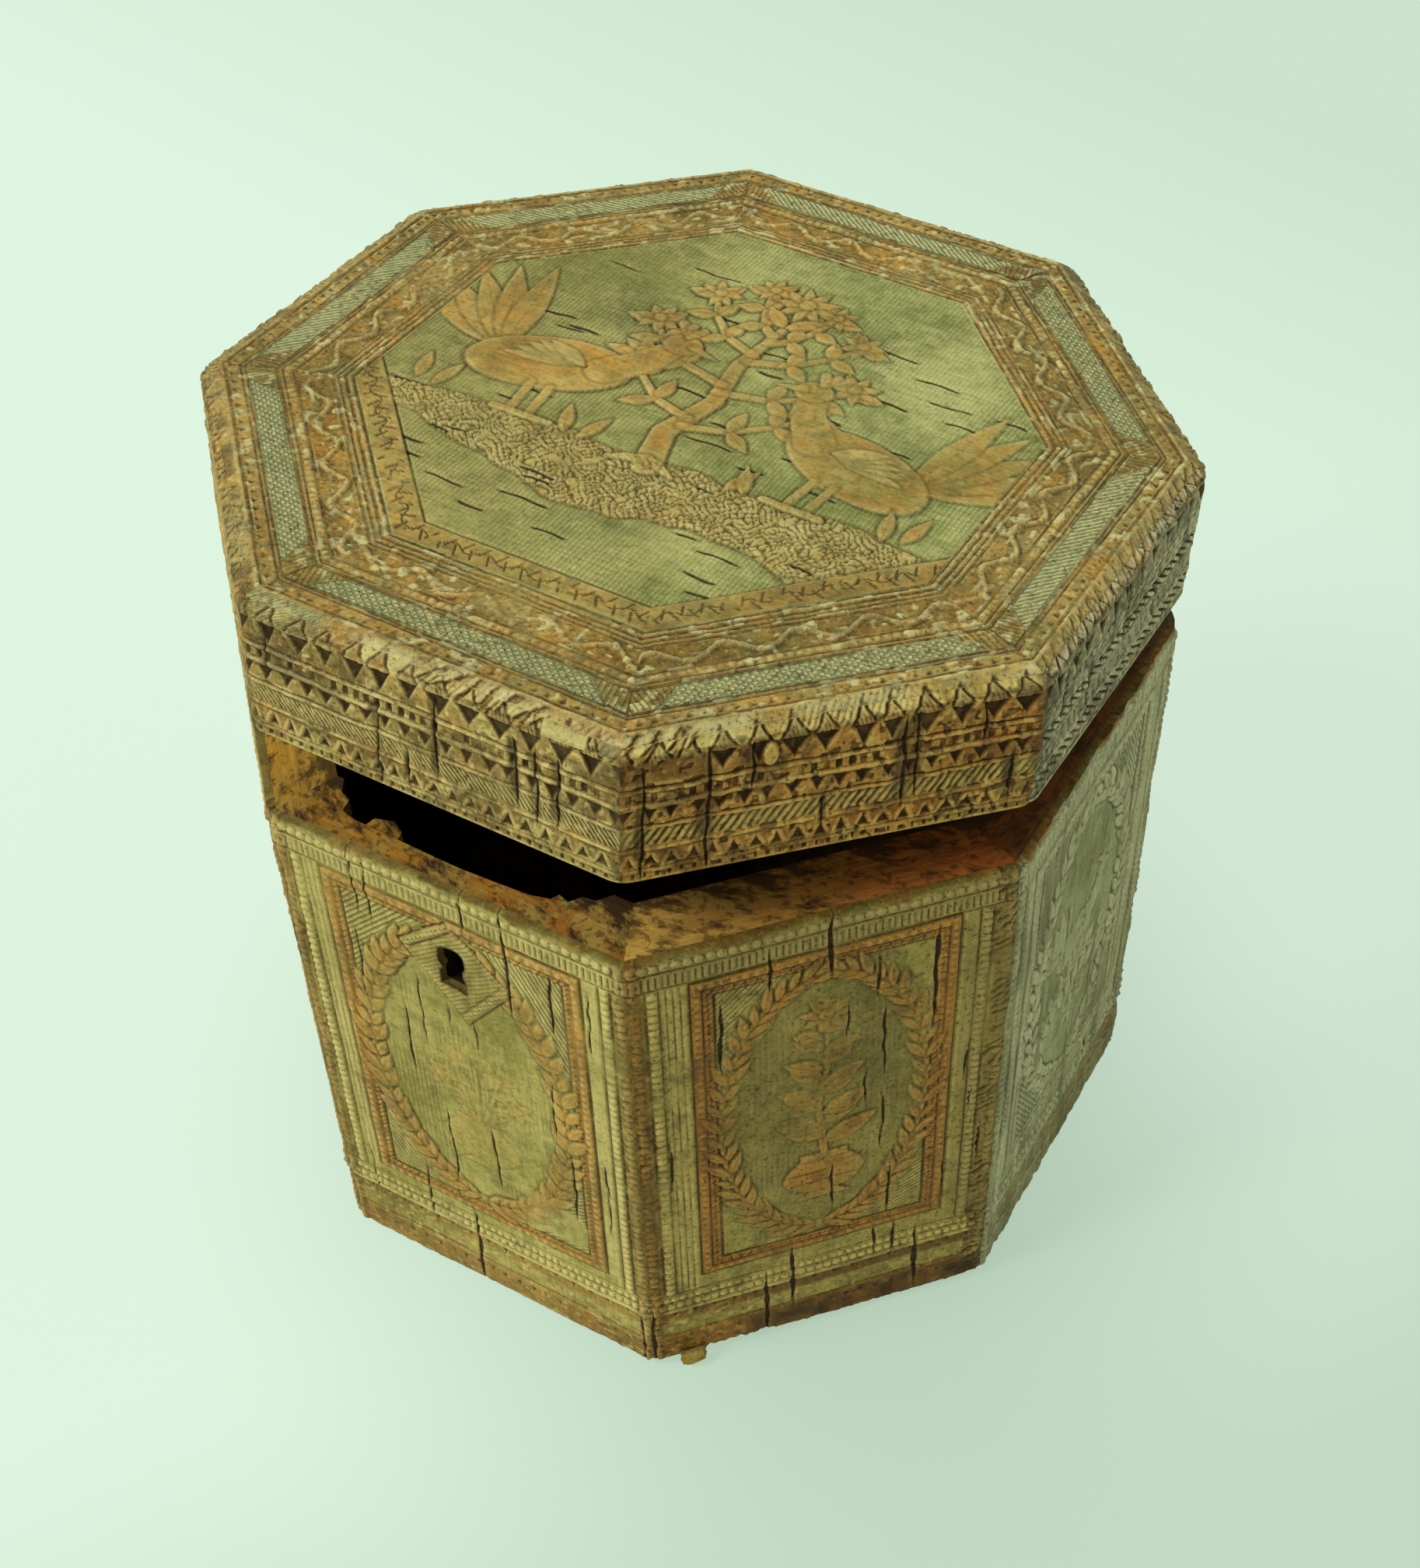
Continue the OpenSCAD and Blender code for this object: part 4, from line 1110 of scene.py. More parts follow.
def carveBorder(c, along, inset, k, ends):
    # bands round the top of the lid, by the distance in from the crease; ends: how far the nearer mitre is
    wobble = cloud(along, inset, 8, 60 + k) * 0.12
    t = inset + wobble
    brownBand = between(t, 3.0, 3.4, 25.2, 25.6)
    c.paint("brown", brownBand, 0.95)
    c.paint("orange",
            brownBand * (0.5 + 0.35 * cloud(along, t, 6, 61 + k) + 0.35 * cloud(along, t, 2, 68 + k)),
            0.82 if k in (1, 2) else 1.0)
    c.ridge(t - 3.6, 0.45, 0.22)
    c.groove(t - 4.2, 0.3, 0.34)
    c.paint("dark", c.notches(along, t, 2.5, 4.6, 6.4, 0.95, 0.36, 70 + k)[0], 0.6)
    flecks = cloud(along, t * 1.6, 1.5, 64 + k) + 0.3 * cloud(along, t, 7, 63 + k)
    flecks = smooth(0.4, 0.7, flecks) * brownBand
    c.paint("pale", flecks, 0.9)
    c.height += 0.2 * flecks
    grain = cloud(along, t, 1.0, 67 + k)
    c.paint("dark", smooth(0.1, 0.7, cloud(along, t, 3.4, 69 + k) + 0.8 * grain) * brownBand, 0.4)
    c.height += 0.1 * grain * brownBand
    c.groove(t - 6.8, 0.32, 0.4)
    c.groove(t - 7.4, 0.28, 0.26)
    green = between(t, 7.7, 7.9, 12.3, 12.5) * smooth(5.2, 5.6, ends - (t - 10) * 0.6)
    for name in ("brown", "orange", "dark", "pale"):
        c.wipe(name, green)
    c.paint("pale", green, 0.62)
    crossed = k in (7, 0, 1, 3)
    c.hatch(green, 40, 1.0 if crossed else 0.85, 140 if crossed else None)
    corner = between(t, 7.7, 7.9, 12.3, 12.5) * (1 - green)
    c.hatch(corner * 0.8, 78, 0.95)
    c.groove(t - 12.9, 0.3, 0.4)
    c.groove(t - 13.8, 0.26, 0.3)
    c.beads(along, t - 14.7, 1.55, 0.62, 0.28)
    c.groove(t - 15.7, 0.3, 0.34)
    addScroll(c, along, t, {1: 0.5, 2: 0.9, 3: 0.8}.get(k, 0.12))
    for at in (21.8, 22.8, 23.9, 25.2):
        c.groove(t - at, 0.32, 0.3)
    for at in (4.2, 6.8, 7.4, 12.9, 13.8, 15.7, 21.8, 22.8, 23.9, 25.2):
        c.paint("dark", smooth(0.42, 0.12, np.abs(t - at)) * (0.75 + 0.5 * cloud(along, t, 3, 74 + k)), 0.62)
    c.ridge(t - 24.5, 0.4, 0.12)


def addScroll(c, along, t, kept):
    # a wave that runs round the lid, with a leaf in each of its bays; kept: how much is left of its stain
    stains = dict(c.stain)
    length = 11.6
    turn = 2 * math.pi * along / length
    crest = 18.7 + 1.55 * np.sin(turn)
    steep = np.sqrt(1 + (1.55 * 2 * math.pi / length * np.cos(turn)) ** 2)
    away = np.abs(t - crest) / steep - 0.42
    cover = smooth(0.25, -0.25, away)
    c.height -= 0.2 * smooth(15.9, 16.3, t) * smooth(21.6, 21.2, t) * (1 - cover)
    c.height += 0.22 * cover
    c.paint("pale", cover, 0.12)
    c.paint("dark", smooth(0.5, 0.15, np.abs(away - 0.35)), 0.4)
    for offset, side in ((0.25, -1), (0.75, 1)):
        u = (along / length - offset + 0.5) % 1 * length - length / 2
        v = t - 18.7 + side * 1.35
        petal = oval(u, v, 0, 0, 1.9, 0.8, 28 * side)
        inside = smooth(0.25, -0.25, petal)
        c.height += 0.26 * inside
        c.groove(np.where(inside > 0.3, v - u * 0.5 * side, 9), 0.25, 0.2)
        c.paint("pale", inside, 0.15)
        c.paint("dark", smooth(0.4, 0.1, np.abs(petal - 0.3)), 0.35)
    c.keepStains(stains, kept)


ringShape = dict(outer=lid["bark"], inner=25.5, rows=70, columns=172)
topLook = dict(cell=0.33, tint=0.0)


def barkRingOnTop():
    inset = np.linspace(ringShape["outer"], ringShape["inner"], ringShape["rows"])[:, None]
    blocks, parts = [], []
    for k in range(8):
        share = (np.arange(ringShape["columns"]) / ringShape["columns"])[None, :]
        left, right = faceEnds(k, inset)
        x = left + (right - left) * share
        t = inset + 0 * x
        c = Carving(x, t)
        ends = np.minimum(x - left, right - x)
        carveBorder(c, x + 40, t, k, ends)
        carveChamfer(c, x - faceEnds(k, 0)[0], -t / lid["chamferWidth"] * chamferLength, k)
        c.height *= smooth(ringShape["outer"], ringShape["outer"] + 0.4, t)
        c.height *= smooth(ringShape["inner"], ringShape["inner"] - 0.2, t)
        c.weather(12, 66 + k, 0.4, 0.25)
        c.height += 0.05 * cloud(x, t, 1.8, 62 + k)
        onSlope = smooth(lid["chamferWidth"] + 0.3, lid["chamferWidth"] - 0.3, t)
        z = lid["height"] - np.clip(1 - t / lid["chamferWidth"], 0, 1) * lid["chamferHeight"]
        out = onSlope * lid["chamferHeight"] / chamferLength
        up = 1 + (lid["chamferWidth"] / chamferLength - 1) * onSlope
        blocks.append(onFace(k, share + 0 * t, t - c.height * out, z + c.height * up))
        parts.append(c)
    front = np.concatenate(blocks, 1)
    rows, columns = front.shape[:2]
    whole = Carving(*(np.concatenate([getattr(p, field) for p in parts], 1) for field in ("x", "y")))
    for field in ("height", "line", "phaseA", "phaseB", "maskA", "maskB"):
        setattr(whole, field, np.concatenate([getattr(p, field) for p in parts], 1))
    whole.stain = {n: np.concatenate([p.stain[n] for p in parts], 1) for n in whole.stain}
    index = np.arange(rows * columns).reshape(rows, columns)
    wrapped = np.concatenate([index, index[:, :1]], 1)
    quads = np.stack([wrapped[:-1, :-1], wrapped[:-1, 1:], wrapped[1:, 1:], wrapped[1:, :-1]],
                     -1).reshape(-1, 4)
    under = front[[0, -1]].copy()
    under[..., 2] = lid["height"] - lid["bark"]
    lowIndex = np.arange(2 * columns).reshape(2, columns) + rows * columns
    lowWrapped = np.concatenate([lowIndex, lowIndex[:, :1]], 1)
    strips = []
    for a, b in ((lowWrapped[0], wrapped[0]), (lowWrapped[1], lowWrapped[0]), (wrapped[-1], lowWrapped[1])):
        strips.append(np.stack([a[:-1], a[1:], b[1:], b[:-1]], -1))
    points = onLid(np.concatenate([front.reshape(-1, 3), under.reshape(-1, 3)]))
    piece = newMesh("carved_border", points, np.concatenate([quads, *strips]))
    setShading(piece, len(quads))
    storeCarving(piece, whole, topLook["cell"], topLook["tint"], np.concatenate([index[0], index[-1]]))
    return piece


def carvePanel(x, y):
    # the panel in the middle of the lid: x to the right, y towards the front, where the picture's foot is
    c = Carving(x, y)
    places = [distances[k] - (x * normals[k][0] - y * normals[k][1]) for k in range(8)]
    inset = np.min(places, axis=0)
    frontSides = (7, 0, 1)
    low = np.min([places[k] for k in frontSides], axis=0)
    ground = smooth(25.4, 25.9, inset) * smooth(30.9, 31.3, low)
    c.height -= 0.16 * ground
    c.hatch(ground * (0.45 + 0.25 * cloud(x, y, 17, 98)), 90, 0.85, 0)
    # painted light: the ground is drawn browner and yellower towards the left, the side the light comes from
    c.paint("brown", ground * smooth(35, -45, x - 0.3 * y + 12 * cloud(x, y, 13, 99)), 0.42)
    c.maskB = c.maskB * 0.5
    addGround(c, x, y)
    before = c.height
    addTree(c)
    addBird(c, -29, 0.6, 37, 1)
    addBird(c, 31, 1.0, 36, -1)
    for px, py, angle in ((-46, 16, -105), (-42.6, 16.6, -80), (46, 15, -78), (43, 16, -102), (-16, 17, -110),
                          (-13, 17.4, -75), (15, 17.6, -70), (18.4, 17, -112)):
        addLeaf(c, px, py, angle, 8.5, 2.6)
    change = c.height - before
    c.height = before + np.where(change > 0, 0.45, 0.9) * change
    addStrokes(c, x, y, places, low, frontSides)
    c.groove(low - 31.1, 0.4, 0.45)
    rng = np.random.default_rng(77)
    for i in range(58):
        px, py = rng.uniform(-50, 50), rng.uniform(-50, 50)
        size, wide = rng.uniform(3, 9), rng.uniform(0.35, 0.6)
        sway = 0.2 * np.sin(x * 0.7 + i)
        taper = np.minimum(x - px + size / 2, px + size / 2 - x) * 0.2
        half = np.minimum(wide / 2 - np.abs(y - py - sway), taper)
        c.slit(half - 0.5 * (c.stain["orange"] > 0.5) - (inset < 27), 0.3)
    c.weather(15, 214, 0.6)
    fleck = cloud(x, y, 1.2, 215)
    c.stain["orange"] = c.stain["orange"] * (0.82 + 0.18 * fleck)
    c.paint("pale", c.stain["orange"] * smooth(0.0, 0.8, cloud(x, y, 5, 216)) * smooth(-0.6, 0.2, fleck), 0.4)
    c.paint("dark", smooth(0.35, 0.8, cloud(x, y, 9, 217) + 0.5 * cloud(x, y, 2.2, 218)), 0.22)
    c.height += 0.05 * cloud(x, y, 1.9, 210) + 0.12 * cloud(x, y, 14, 211)
    c.height *= smooth(25.5, 25.7, inset)
    return c


def addGround(c, x, y):
    # the ground of the picture: a strip with uneven edges, scratched all over in both slants
    top = 16.5 + 1.3 * np.sin(x * 0.11 + 0.6) + 0.7 * cloud(x, x * 0, 5, 90)
    top = top - 2.2 * smooth(16, 0, np.abs(x - 8))
    low = 31.5 + 2.4 * np.sin(x * 0.13 + 2.2) + 0.8 * cloud(x, x * 0, 4, 91)
    low = low - 9 * smooth(-26, -50, x) + 0.8 * smooth(0, 30, x)
    away = np.maximum(top - y, y - low)
    cover = smooth(0.4, -0.4, away)
    c.outline(away)
    c.calm(cover)
    c.height += 0.12 * cover
    c.paint("orange", cover * (0.6 + 0.5 * cloud(x, y, 6, 94)), 0.75)
    c.paint("pale", cover * (0.5 + 0.5 * cloud(x, y, 1.6, 96)), 0.7)
    c.paint("brown", cover, 0.8)
    for slant, seed in ((0.75, 92), (-0.9, 93)):
        count = (x + slant * y) / 1.5 + 0.9 * cloud(x, y, 2.9, seed) + 0.4 * cloud(x, y, 1.2, seed + 7)
        cuts = smooth(0.2, 0.05, np.abs(count % 1 - 0.5)) * cover
        cuts = cuts * smooth(-0.8, -0.3, cloud(x, y, 2.2, seed + 3))
        c.height -= 0.24 * cuts
        c.paint("dark", cuts, 0.5)


def addTree(c):
    # the tree of life: a bent trunk, pairs of boughs that end in blossoms, and leaves all along them
    addStem(c, [(1, 18), (-1.6, 8), (1.2, -4), (-0.8, -16), (0.4, -30)], 5.2, 1.8, 0.5)
    for side in (-1, 1):
        addStem(c, [(0, 16.5), (side * 3.4, 17.6), (side * 6.2, 19)], 2.8, 0.8, 0.45)
        for i, (foot, reach, rise) in enumerate(((4, 17, 13), (-8, 20, 12), (-19, 15, 14), (-26, 7, 13))):
            start = foot + (1.2 if side > 0 else -1.2)
            bough = [(0, start), (side * reach * 0.45, start - rise * 0.2),
                     (side * reach * 0.8, start - rise * 0.6),
                     (side * reach, start - rise)]
            addStem(c, bough, 1.9, 0.9, 0.45)
            for j, (px, py) in enumerate(bough[1:]):
                for spread in (62, -62):
                    addLeaf(c, px, py, -90 + side * (62 - 16 * j) + spread, 6.8 - 0.5 * i, 3.0, 0.48)
            addRosette(c, side * reach, start - rise - 1.0, 5.0 - 0.35 * i, 7, 20 * i, 0.6)
    addRosette(c, 0.4, -39.5, 6.2, 9, 8, 0.65)
    for side in (-1, 1):
        addLeaf(c, 0.2, -31, -90 + side * 48, 7.4, 3.2, 0.5)


def addStrokes(c, x, y, places, low, sides):
    # a thin vine with small pointed leaves, cut along the three sides of the panel at the front
    band = smooth(25.5, 25.8, low) * smooth(31.1, 30.8, low)
    c.calm(band)
    for name in ("dark", "pale"):
        c.wipe(name, band)
    c.paint("orange", band * (0.8 + 0.3 * cloud(x, y, 3, 88)), 0.9)
    c.paint("brown", band, 0.6)
    c.paint("dark", band * smooth(0.0, 0.8, cloud(x, y, 2.3, 89) + 0.5 * cloud(x, y, 0.9, 81)), 0.4)
    c.height = c.height * (1 - band) + 0.1 * band
    for k in sides:
        here = band * (np.abs(places[k] - low) < 0.01)
        along, t = x * alongs[k][0] - y * alongs[k][1] + 60, places[k] - 28.3
        along = along + 0.5 * cloud(along, t * 0, 5, 84 + k)
        vine = np.abs(t - 0.75 * np.sin(along * 2 * math.pi / 6.4))
        n, u = repeats(along, 1.6)
        v = t * (1 - 2 * (n % 2))
        beyond = np.clip(np.abs(v - 0.7 + 0.4 * scrambled(n, 82 + k)) - 1.0, 0, None)
        leaf = np.hypot(np.abs(u - 0.45 * v + 0.3), beyond)
        line = np.minimum(vine + 0.05, leaf)
        cuts = smooth(0.34, 0.1, line) * here * smooth(-0.7, -0.3, cloud(along, t, 2.4, 83 + k))
        c.height -= 0.24 * cuts
        c.paint("dark", cuts, 0.7)


panelShape = dict(inset=ringShape["inner"], rows=330, columns=298)


def barkPanelOnTop():
    inset = panelShape["inset"]
    half = outline["halfDepth"] - inset
    y = np.linspace(half, -half, panelShape["rows"])[:, None]
    frontHalf = faceEnds(0, inset)[1]
    sideHalf = faceEnds(2, inset)[1]
    sideWidth = outline["halfWidth"] - inset
    wide = frontHalf + (sideWidth - frontHalf) * np.clip((half - np.abs(y)) / (half - sideHalf), 0, 1)
    x = wide * np.linspace(-1, 1, panelShape["columns"])[None, :]
    y = y + 0 * x
    c = carvePanel(x, -y)
    front = np.stack([x, y, lid["height"] + c.height], -1)
    back = np.stack([x, y, np.full_like(x, lid["height"] - lid["bark"])], -1)
    piece, loop = sheetMesh("carved_panel", onLid(front), onLid(back))
    storeCarving(piece, c, topLook["cell"], topLook["tint"], loop)
    return piece


for k, name in enumerate(faceNames):
    pieces["rim_" + name] = barkOnRim(name, k)
for key, piece in (("border", barkRingOnTop()), ("panel", barkPanelOnTop())):
    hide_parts("lid_bark_top")
    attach(piece, "lid")
    pieces[key] = piece
print("lid bark:", len(pieces), "sheets in all")


# The chip of bark that has curled away from the foot, near the front corner
curledChip = dict(face=1, along=8.0, width=5.0, top=4.2, length=6.2, thick=0.6)


def curlOfBark():
    # a rounded flap: a strip across it comes off the wall, bulges forward and turns in above the floor
    k, w = curledChip["face"], curledChip["width"]
    s = np.linspace(0, 1, 28)[:, None]
    t = np.linspace(-1, 1, 22)[None, :]
    bend = np.radians(np.concatenate([np.linspace(62, 20, 12), np.linspace(20, -80, 16)]))[:, None]
    step = curledChip["length"] / 27
    out = np.cumsum(np.sin(bend) * step, 0) * (1 - 0.25 * t ** 2)
    drop = np.cumsum(np.cos(bend) * step, 0)
    narrow = np.sqrt(np.clip(1 - (s * 0.97) ** 2.6, 0, 1)) * (1 + 0.05 * np.sin(s * 23))
    across = curledChip["along"] + t * w / 2 * narrow + 0.3 * s
    z = curledChip["top"] - drop * 0.72
    grids = []
    for side, lowest in ((1, 0.22), (-1, 0.12)):
        lift = side * curledChip["thick"] / 2
        away = 0.2 + out + lift * np.cos(bend)
        height = np.clip(z + lift * np.sin(bend) + 0.12 * np.sin(t * 4), lowest, None)
        grids.append(onFace(k, across / widths[k] + 0 * away, -away, height))
    c = Carving(across + 0 * z, z + 0 * across)
    c.paint("brown", 0.8 + 0 * across, 0.9)
    c.paint("orange", s + 0 * t, 0.5)
    c.paint("pale", smooth(0.45, 0.8, s) + 0 * t, 0.7)
    c.paint("dark", smooth(0.2, 0, s) + 0.3 * smooth(0.5, 0.9, np.abs(t)) + 0 * s, 0.6)
    return grids, c


def twoSided(name, grids, c, tint):
    # two grids a little apart, their four edges joined
    outer, inner = grids
    rows, columns = outer.shape[:2]
    quads, loop = gridFaces(rows, columns)
    behind = quads[:, ::-1] + rows * columns
    rim = np.stack([loop, np.roll(loop, -1), np.roll(loop, -1) + rows * columns, loop + rows * columns], -1)
    points = np.concatenate([outer.reshape(-1, 3), inner.reshape(-1, 3)])
    piece = newMesh(name, points, np.concatenate([quads, behind, rim]))
    setShading(piece, 2 * len(quads))
    storeCarving(piece, c, 0.3, tint, np.arange(rows * columns))
    return piece


chip = twoSided("curled_chip", *curlOfBark(), 0.3)
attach(chip, "box")
pieces["chip"] = chip
print("curled chip")


def linear(hexColour):
    # sRGB hex to the linear colour that the shader wants
    parts = [int(hexColour[i:i + 2], 16) / 255 for i in (1, 3, 5)]
    return tuple(p / 12.92 if p <= 0.04045 else ((p + 0.055) / 1.055) ** 2.4 for p in parts) + (1.0,)


def setInputs(tree, node, inputs):
    # a link or a value for each input
    for key, value in inputs.items():
        if isinstance(value, bpy.types.NodeSocket):
            tree.links.new(value, node.inputs[key])
        else:
            node.inputs[key].default_value = value


def addNode(tree, kind, inputs, output=0, **settings):
    # one node with its settings and inputs; gives back the wanted output
    node = tree.nodes.new("ShaderNode" + kind)
    for key, value in settings.items():
        setattr(node, key, value)
    setInputs(tree, node, inputs)
    return node.outputs[output]


def newMaterial(name):
    material = bpy.data.materials.new(name)
    material.use_nodes = True
    return material, material.node_tree, material.node_tree.nodes["Principled BSDF"]


# Carved birch bark, stained in the panels and waxed: a dull, uneven skin with darker grain in the cuts
# the dirt colour also paints shade into the hollows of the relief, and the rubbed colour paints highlight on
# its crests
barkStain = dict(greenDeep="#8C8C42", greenPale="#BAB768", brownDeep="#806828", brownPale="#AE8E42",
                 orangeDeep="#94681F", orangePale="#C49238", pale="#D2C97E", cut="#281A06",
                 hatchCut="#605826", dirtAndShade="#40300D", rubbedAndHighlight="#DCCC88", tint="#DEB464")
# The same bark, painted greyer and paler for the right side: a painted reflection of the pale surroundings
# and their cool light
greySheenStain = dict(barkStain, greenDeep="#868D60", greenPale="#ADB587", pale="#C6CCA4", hatchCut="#5F5F3C",
                 dirtAndShade="#423A1E", rubbedAndHighlight="#D2D4B4")
# The lid, handled and dusted most, is a little greener; its front is darker, and its right side dull and
# painted darker all over as shade in its deep carving
lidStain = dict(barkStain, greenDeep="#8A924E", greenPale="#BCC07A", brownDeep="#806A2C",
                brownPale="#AE9246", pale="#D0CA82", hatchCut="#5E6032")
ringStain = dict(lidStain, greenDeep="#8A945C", greenPale="#BCC48A", brownPale="#AE944E", pale="#D2D096")
rimStain = dict(barkStain, greenDeep="#807C40", greenPale="#A8A45E", brownDeep="#6C5826",
                brownPale="#9A8040", orangePale="#B88834", pale="#CCC27C")
# painted shade: the lid's right side gets darker greens and browns, standing in for the shade in its deep
# carving
dullShadedStain = dict(greySheenStain, greenDeep="#56583A", greenPale="#84885A", brownDeep="#5A5030",
                 brownPale="#80784C", pale="#CED0A6", dirtAndShade="#2A2412", rubbedAndHighlight="#DCDCB4")


def barkMaterial(name, grain, palette, speckled):
    # grain: how many streaks of the bark to the metre, along x, y and z; the lenticels run where it is least.
    # speckled: how strongly its pores show
    material, tree, shader = newMaterial(name)
    place = addNode(tree, "TexCoord", {}, "Object")
    stain, darkStain, hatch, hatchB, wear, slit = (
        addNode(tree, "Attribute", {}, out, attribute_name=field)
        for field in ("stain", "hatch", "wear") for out in ("Vector", "Alpha"))
    orange, brown, pale = (addNode(tree, "SeparateXYZ", {0: stain}, i) for i in range(3))
    phaseA, phaseB, maskA = (addNode(tree, "SeparateXYZ", {0: hatch}, i) for i in range(3))
    dirtAndShade, rubbedAndHighlight, tint = (addNode(tree, "SeparateXYZ", {0: wear}, i) for i in range(3))
    wide = addNode(tree, "TexNoise", {"Vector": place, "Scale": 45.0, "Detail": 3.0})
    mottle = addNode(tree, "TexNoise", {"Vector": place, "Scale": 330.0, "Detail": 4.0, "Roughness": 0.65})
    stretched = addNode(tree, "Mapping", {"Vector": place, "Scale": grain})
    fibre = addNode(tree, "TexNoise", {"Vector": stretched, "Scale": 1.0, "Detail": 3.0, "Roughness": 0.6})
    fine = addNode(tree, "TexNoise", {"Vector": place, "Scale": 1300.0, "Detail": 3.0, "Roughness": 0.6})
    both = addNode(tree, "Mix", {0: 0.45, 2: wide, 3: mottle})
    tone = addNode(tree, "MapRange", {0: both, 1: 0.40, 2: 0.60, 3: 0.0, 4: 1.0})
    patchy = addNode(tree, "MapRange", {0: mottle, 1: 0.34, 2: 0.58, 3: 0.62, 4: 1.0})
    look = {key: linear(value) for key, value in palette.items()}
    colour = addNode(tree, "Mix", {0: tone, 6: look["greenDeep"], 7: look["greenPale"]}, 2, data_type="RGBA")
    for cover, deep, light in ((brown, "brownDeep", "brownPale"), (orange, "orangeDeep", "orangePale"),
                               (pale, "pale", "pale")):
        toned = addNode(tree, "Mix", {0: tone, 6: look[deep], 7: look[light]}, 2, data_type="RGBA")
        share = addNode(tree, "Math", {0: cover, 1: patchy}, operation="MULTIPLY")
        colour = addNode(tree, "Mix", {0: share, 6: colour, 7: toned}, 2, data_type="RGBA")
    streak = addNode(tree, "MapRange", {0: fibre, 1: 0.36, 2: 0.62, 3: 0.84, 4: 1.06})
    colour = addNode(tree, "Mix", {0: 1.0, 6: colour, 7: streak}, 2, data_type="RGBA", blend_type="MULTIPLY")
    lines = []
    for phase, mask in ((phaseA, maskA), (phaseB, hatchB)):
        uneven = addNode(tree, "Math", {0: mottle, 1: 0.5, 2: phase}, operation="MULTIPLY_ADD")
        part = addNode(tree, "Math", {0: uneven}, operation="FRACT")
        away = addNode(tree, "Math", {0: part, 1: 0.5}, operation="SUBTRACT")
        away = addNode(tree, "Math", {0: away}, operation="ABSOLUTE")
        line = addNode(tree, "MapRange", {0: away, 1: 0.08, 2: 0.34, 3: 1.0, 4: 0.0},
                       interpolation_type="SMOOTHSTEP")
        lines.append(addNode(tree, "Math", {0: line, 1: mask}, operation="MULTIPLY"))
    cuts = addNode(tree, "Math", {0: lines[0], 1: lines[1]}, operation="MAXIMUM")
    pits = addNode(tree, "MapRange", {0: fine, 1: 0.55, 2: 0.68, 3: 0.0, 4: 1.0})
    scuffs = addNode(tree, "MapRange", {0: fine, 1: 0.42, 2: 0.33, 3: 0.0, 4: 1.0})
    crack = addNode(tree, "MapRange", {0: slit, 1: 0.44, 2: 0.54, 3: 0.0, 4: 1.0},
                    interpolation_type="SMOOTHSTEP")
    # painted shade and highlight of the relief darken its hollows and lighten its crests, besides cuts, pits,
    # scuffs and stains
    for cover, amount, shade in (
            (cuts, 0.62, "hatchCut"), (dirtAndShade, 0.85, "dirtAndShade"), (rubbedAndHighlight, 0.5, "rubbedAndHighlight"),
            (pits, 0.4 * speckled, "dirtAndShade"), (scuffs, 0.22 * speckled, "rubbedAndHighlight"),
            (darkStain, 0.92, "cut"), (crack, 0.85, "cut")):
        share = addNode(tree, "Math", {0: cover, 1: amount}, operation="MULTIPLY", use_clamp=True)
        colour = addNode(tree, "Mix", {0: share, 6: colour, 7: look[shade]}, 2, data_type="RGBA")
    stained = addNode(tree, "Math", {0: orange, 1: brown}, operation="MAXIMUM")
    stained = addNode(tree, "Math", {0: stained, 1: 0.7, 2: 0.3}, operation="MULTIPLY_ADD")
    reddened = addNode(tree, "Math", {0: stained, 1: tint}, operation="MULTIPLY", use_clamp=True)
    colour = addNode(tree, "Mix", {0: reddened, 6: colour, 7: look["tint"]}, 2, data_type="RGBA",
                     blend_type="MULTIPLY")
    worn = addNode(tree, "Math", {0: dirtAndShade, 1: rubbedAndHighlight}, operation="SUBTRACT")
    rough = addNode(tree, "MapRange", {0: worn, 1: -1.0, 2: 1.0, 3: 0.42, 4: 0.72})
    rise = 0.0
    for field, amount in ((fibre, 0.10), (mottle, 0.10), (fine, -0.14), (cuts, -0.26), (crack, -0.4)):
        rise = addNode(tree, "Math", {0: field, 1: amount, 2: rise}, operation="MULTIPLY_ADD")
    bump = addNode(tree, "Bump", {"Height": rise, "Strength": 1.0, "Distance": 0.001})
    setInputs(tree, shader,
              {"Base Color": colour, "Roughness": rough, "Normal": bump, "Specular IOR Level": 0.22})
    return material


# How deep in a wall's top the painted shade under the lid starts and is full, and the painted shade round the
# keyhole's bore, in metres
innerShade = dict(start=0.0055, full=0.0124)
boreShade = dict(colour="#0C0804", above=0.0015, start=0.009, full=0.007, cover=0.97)
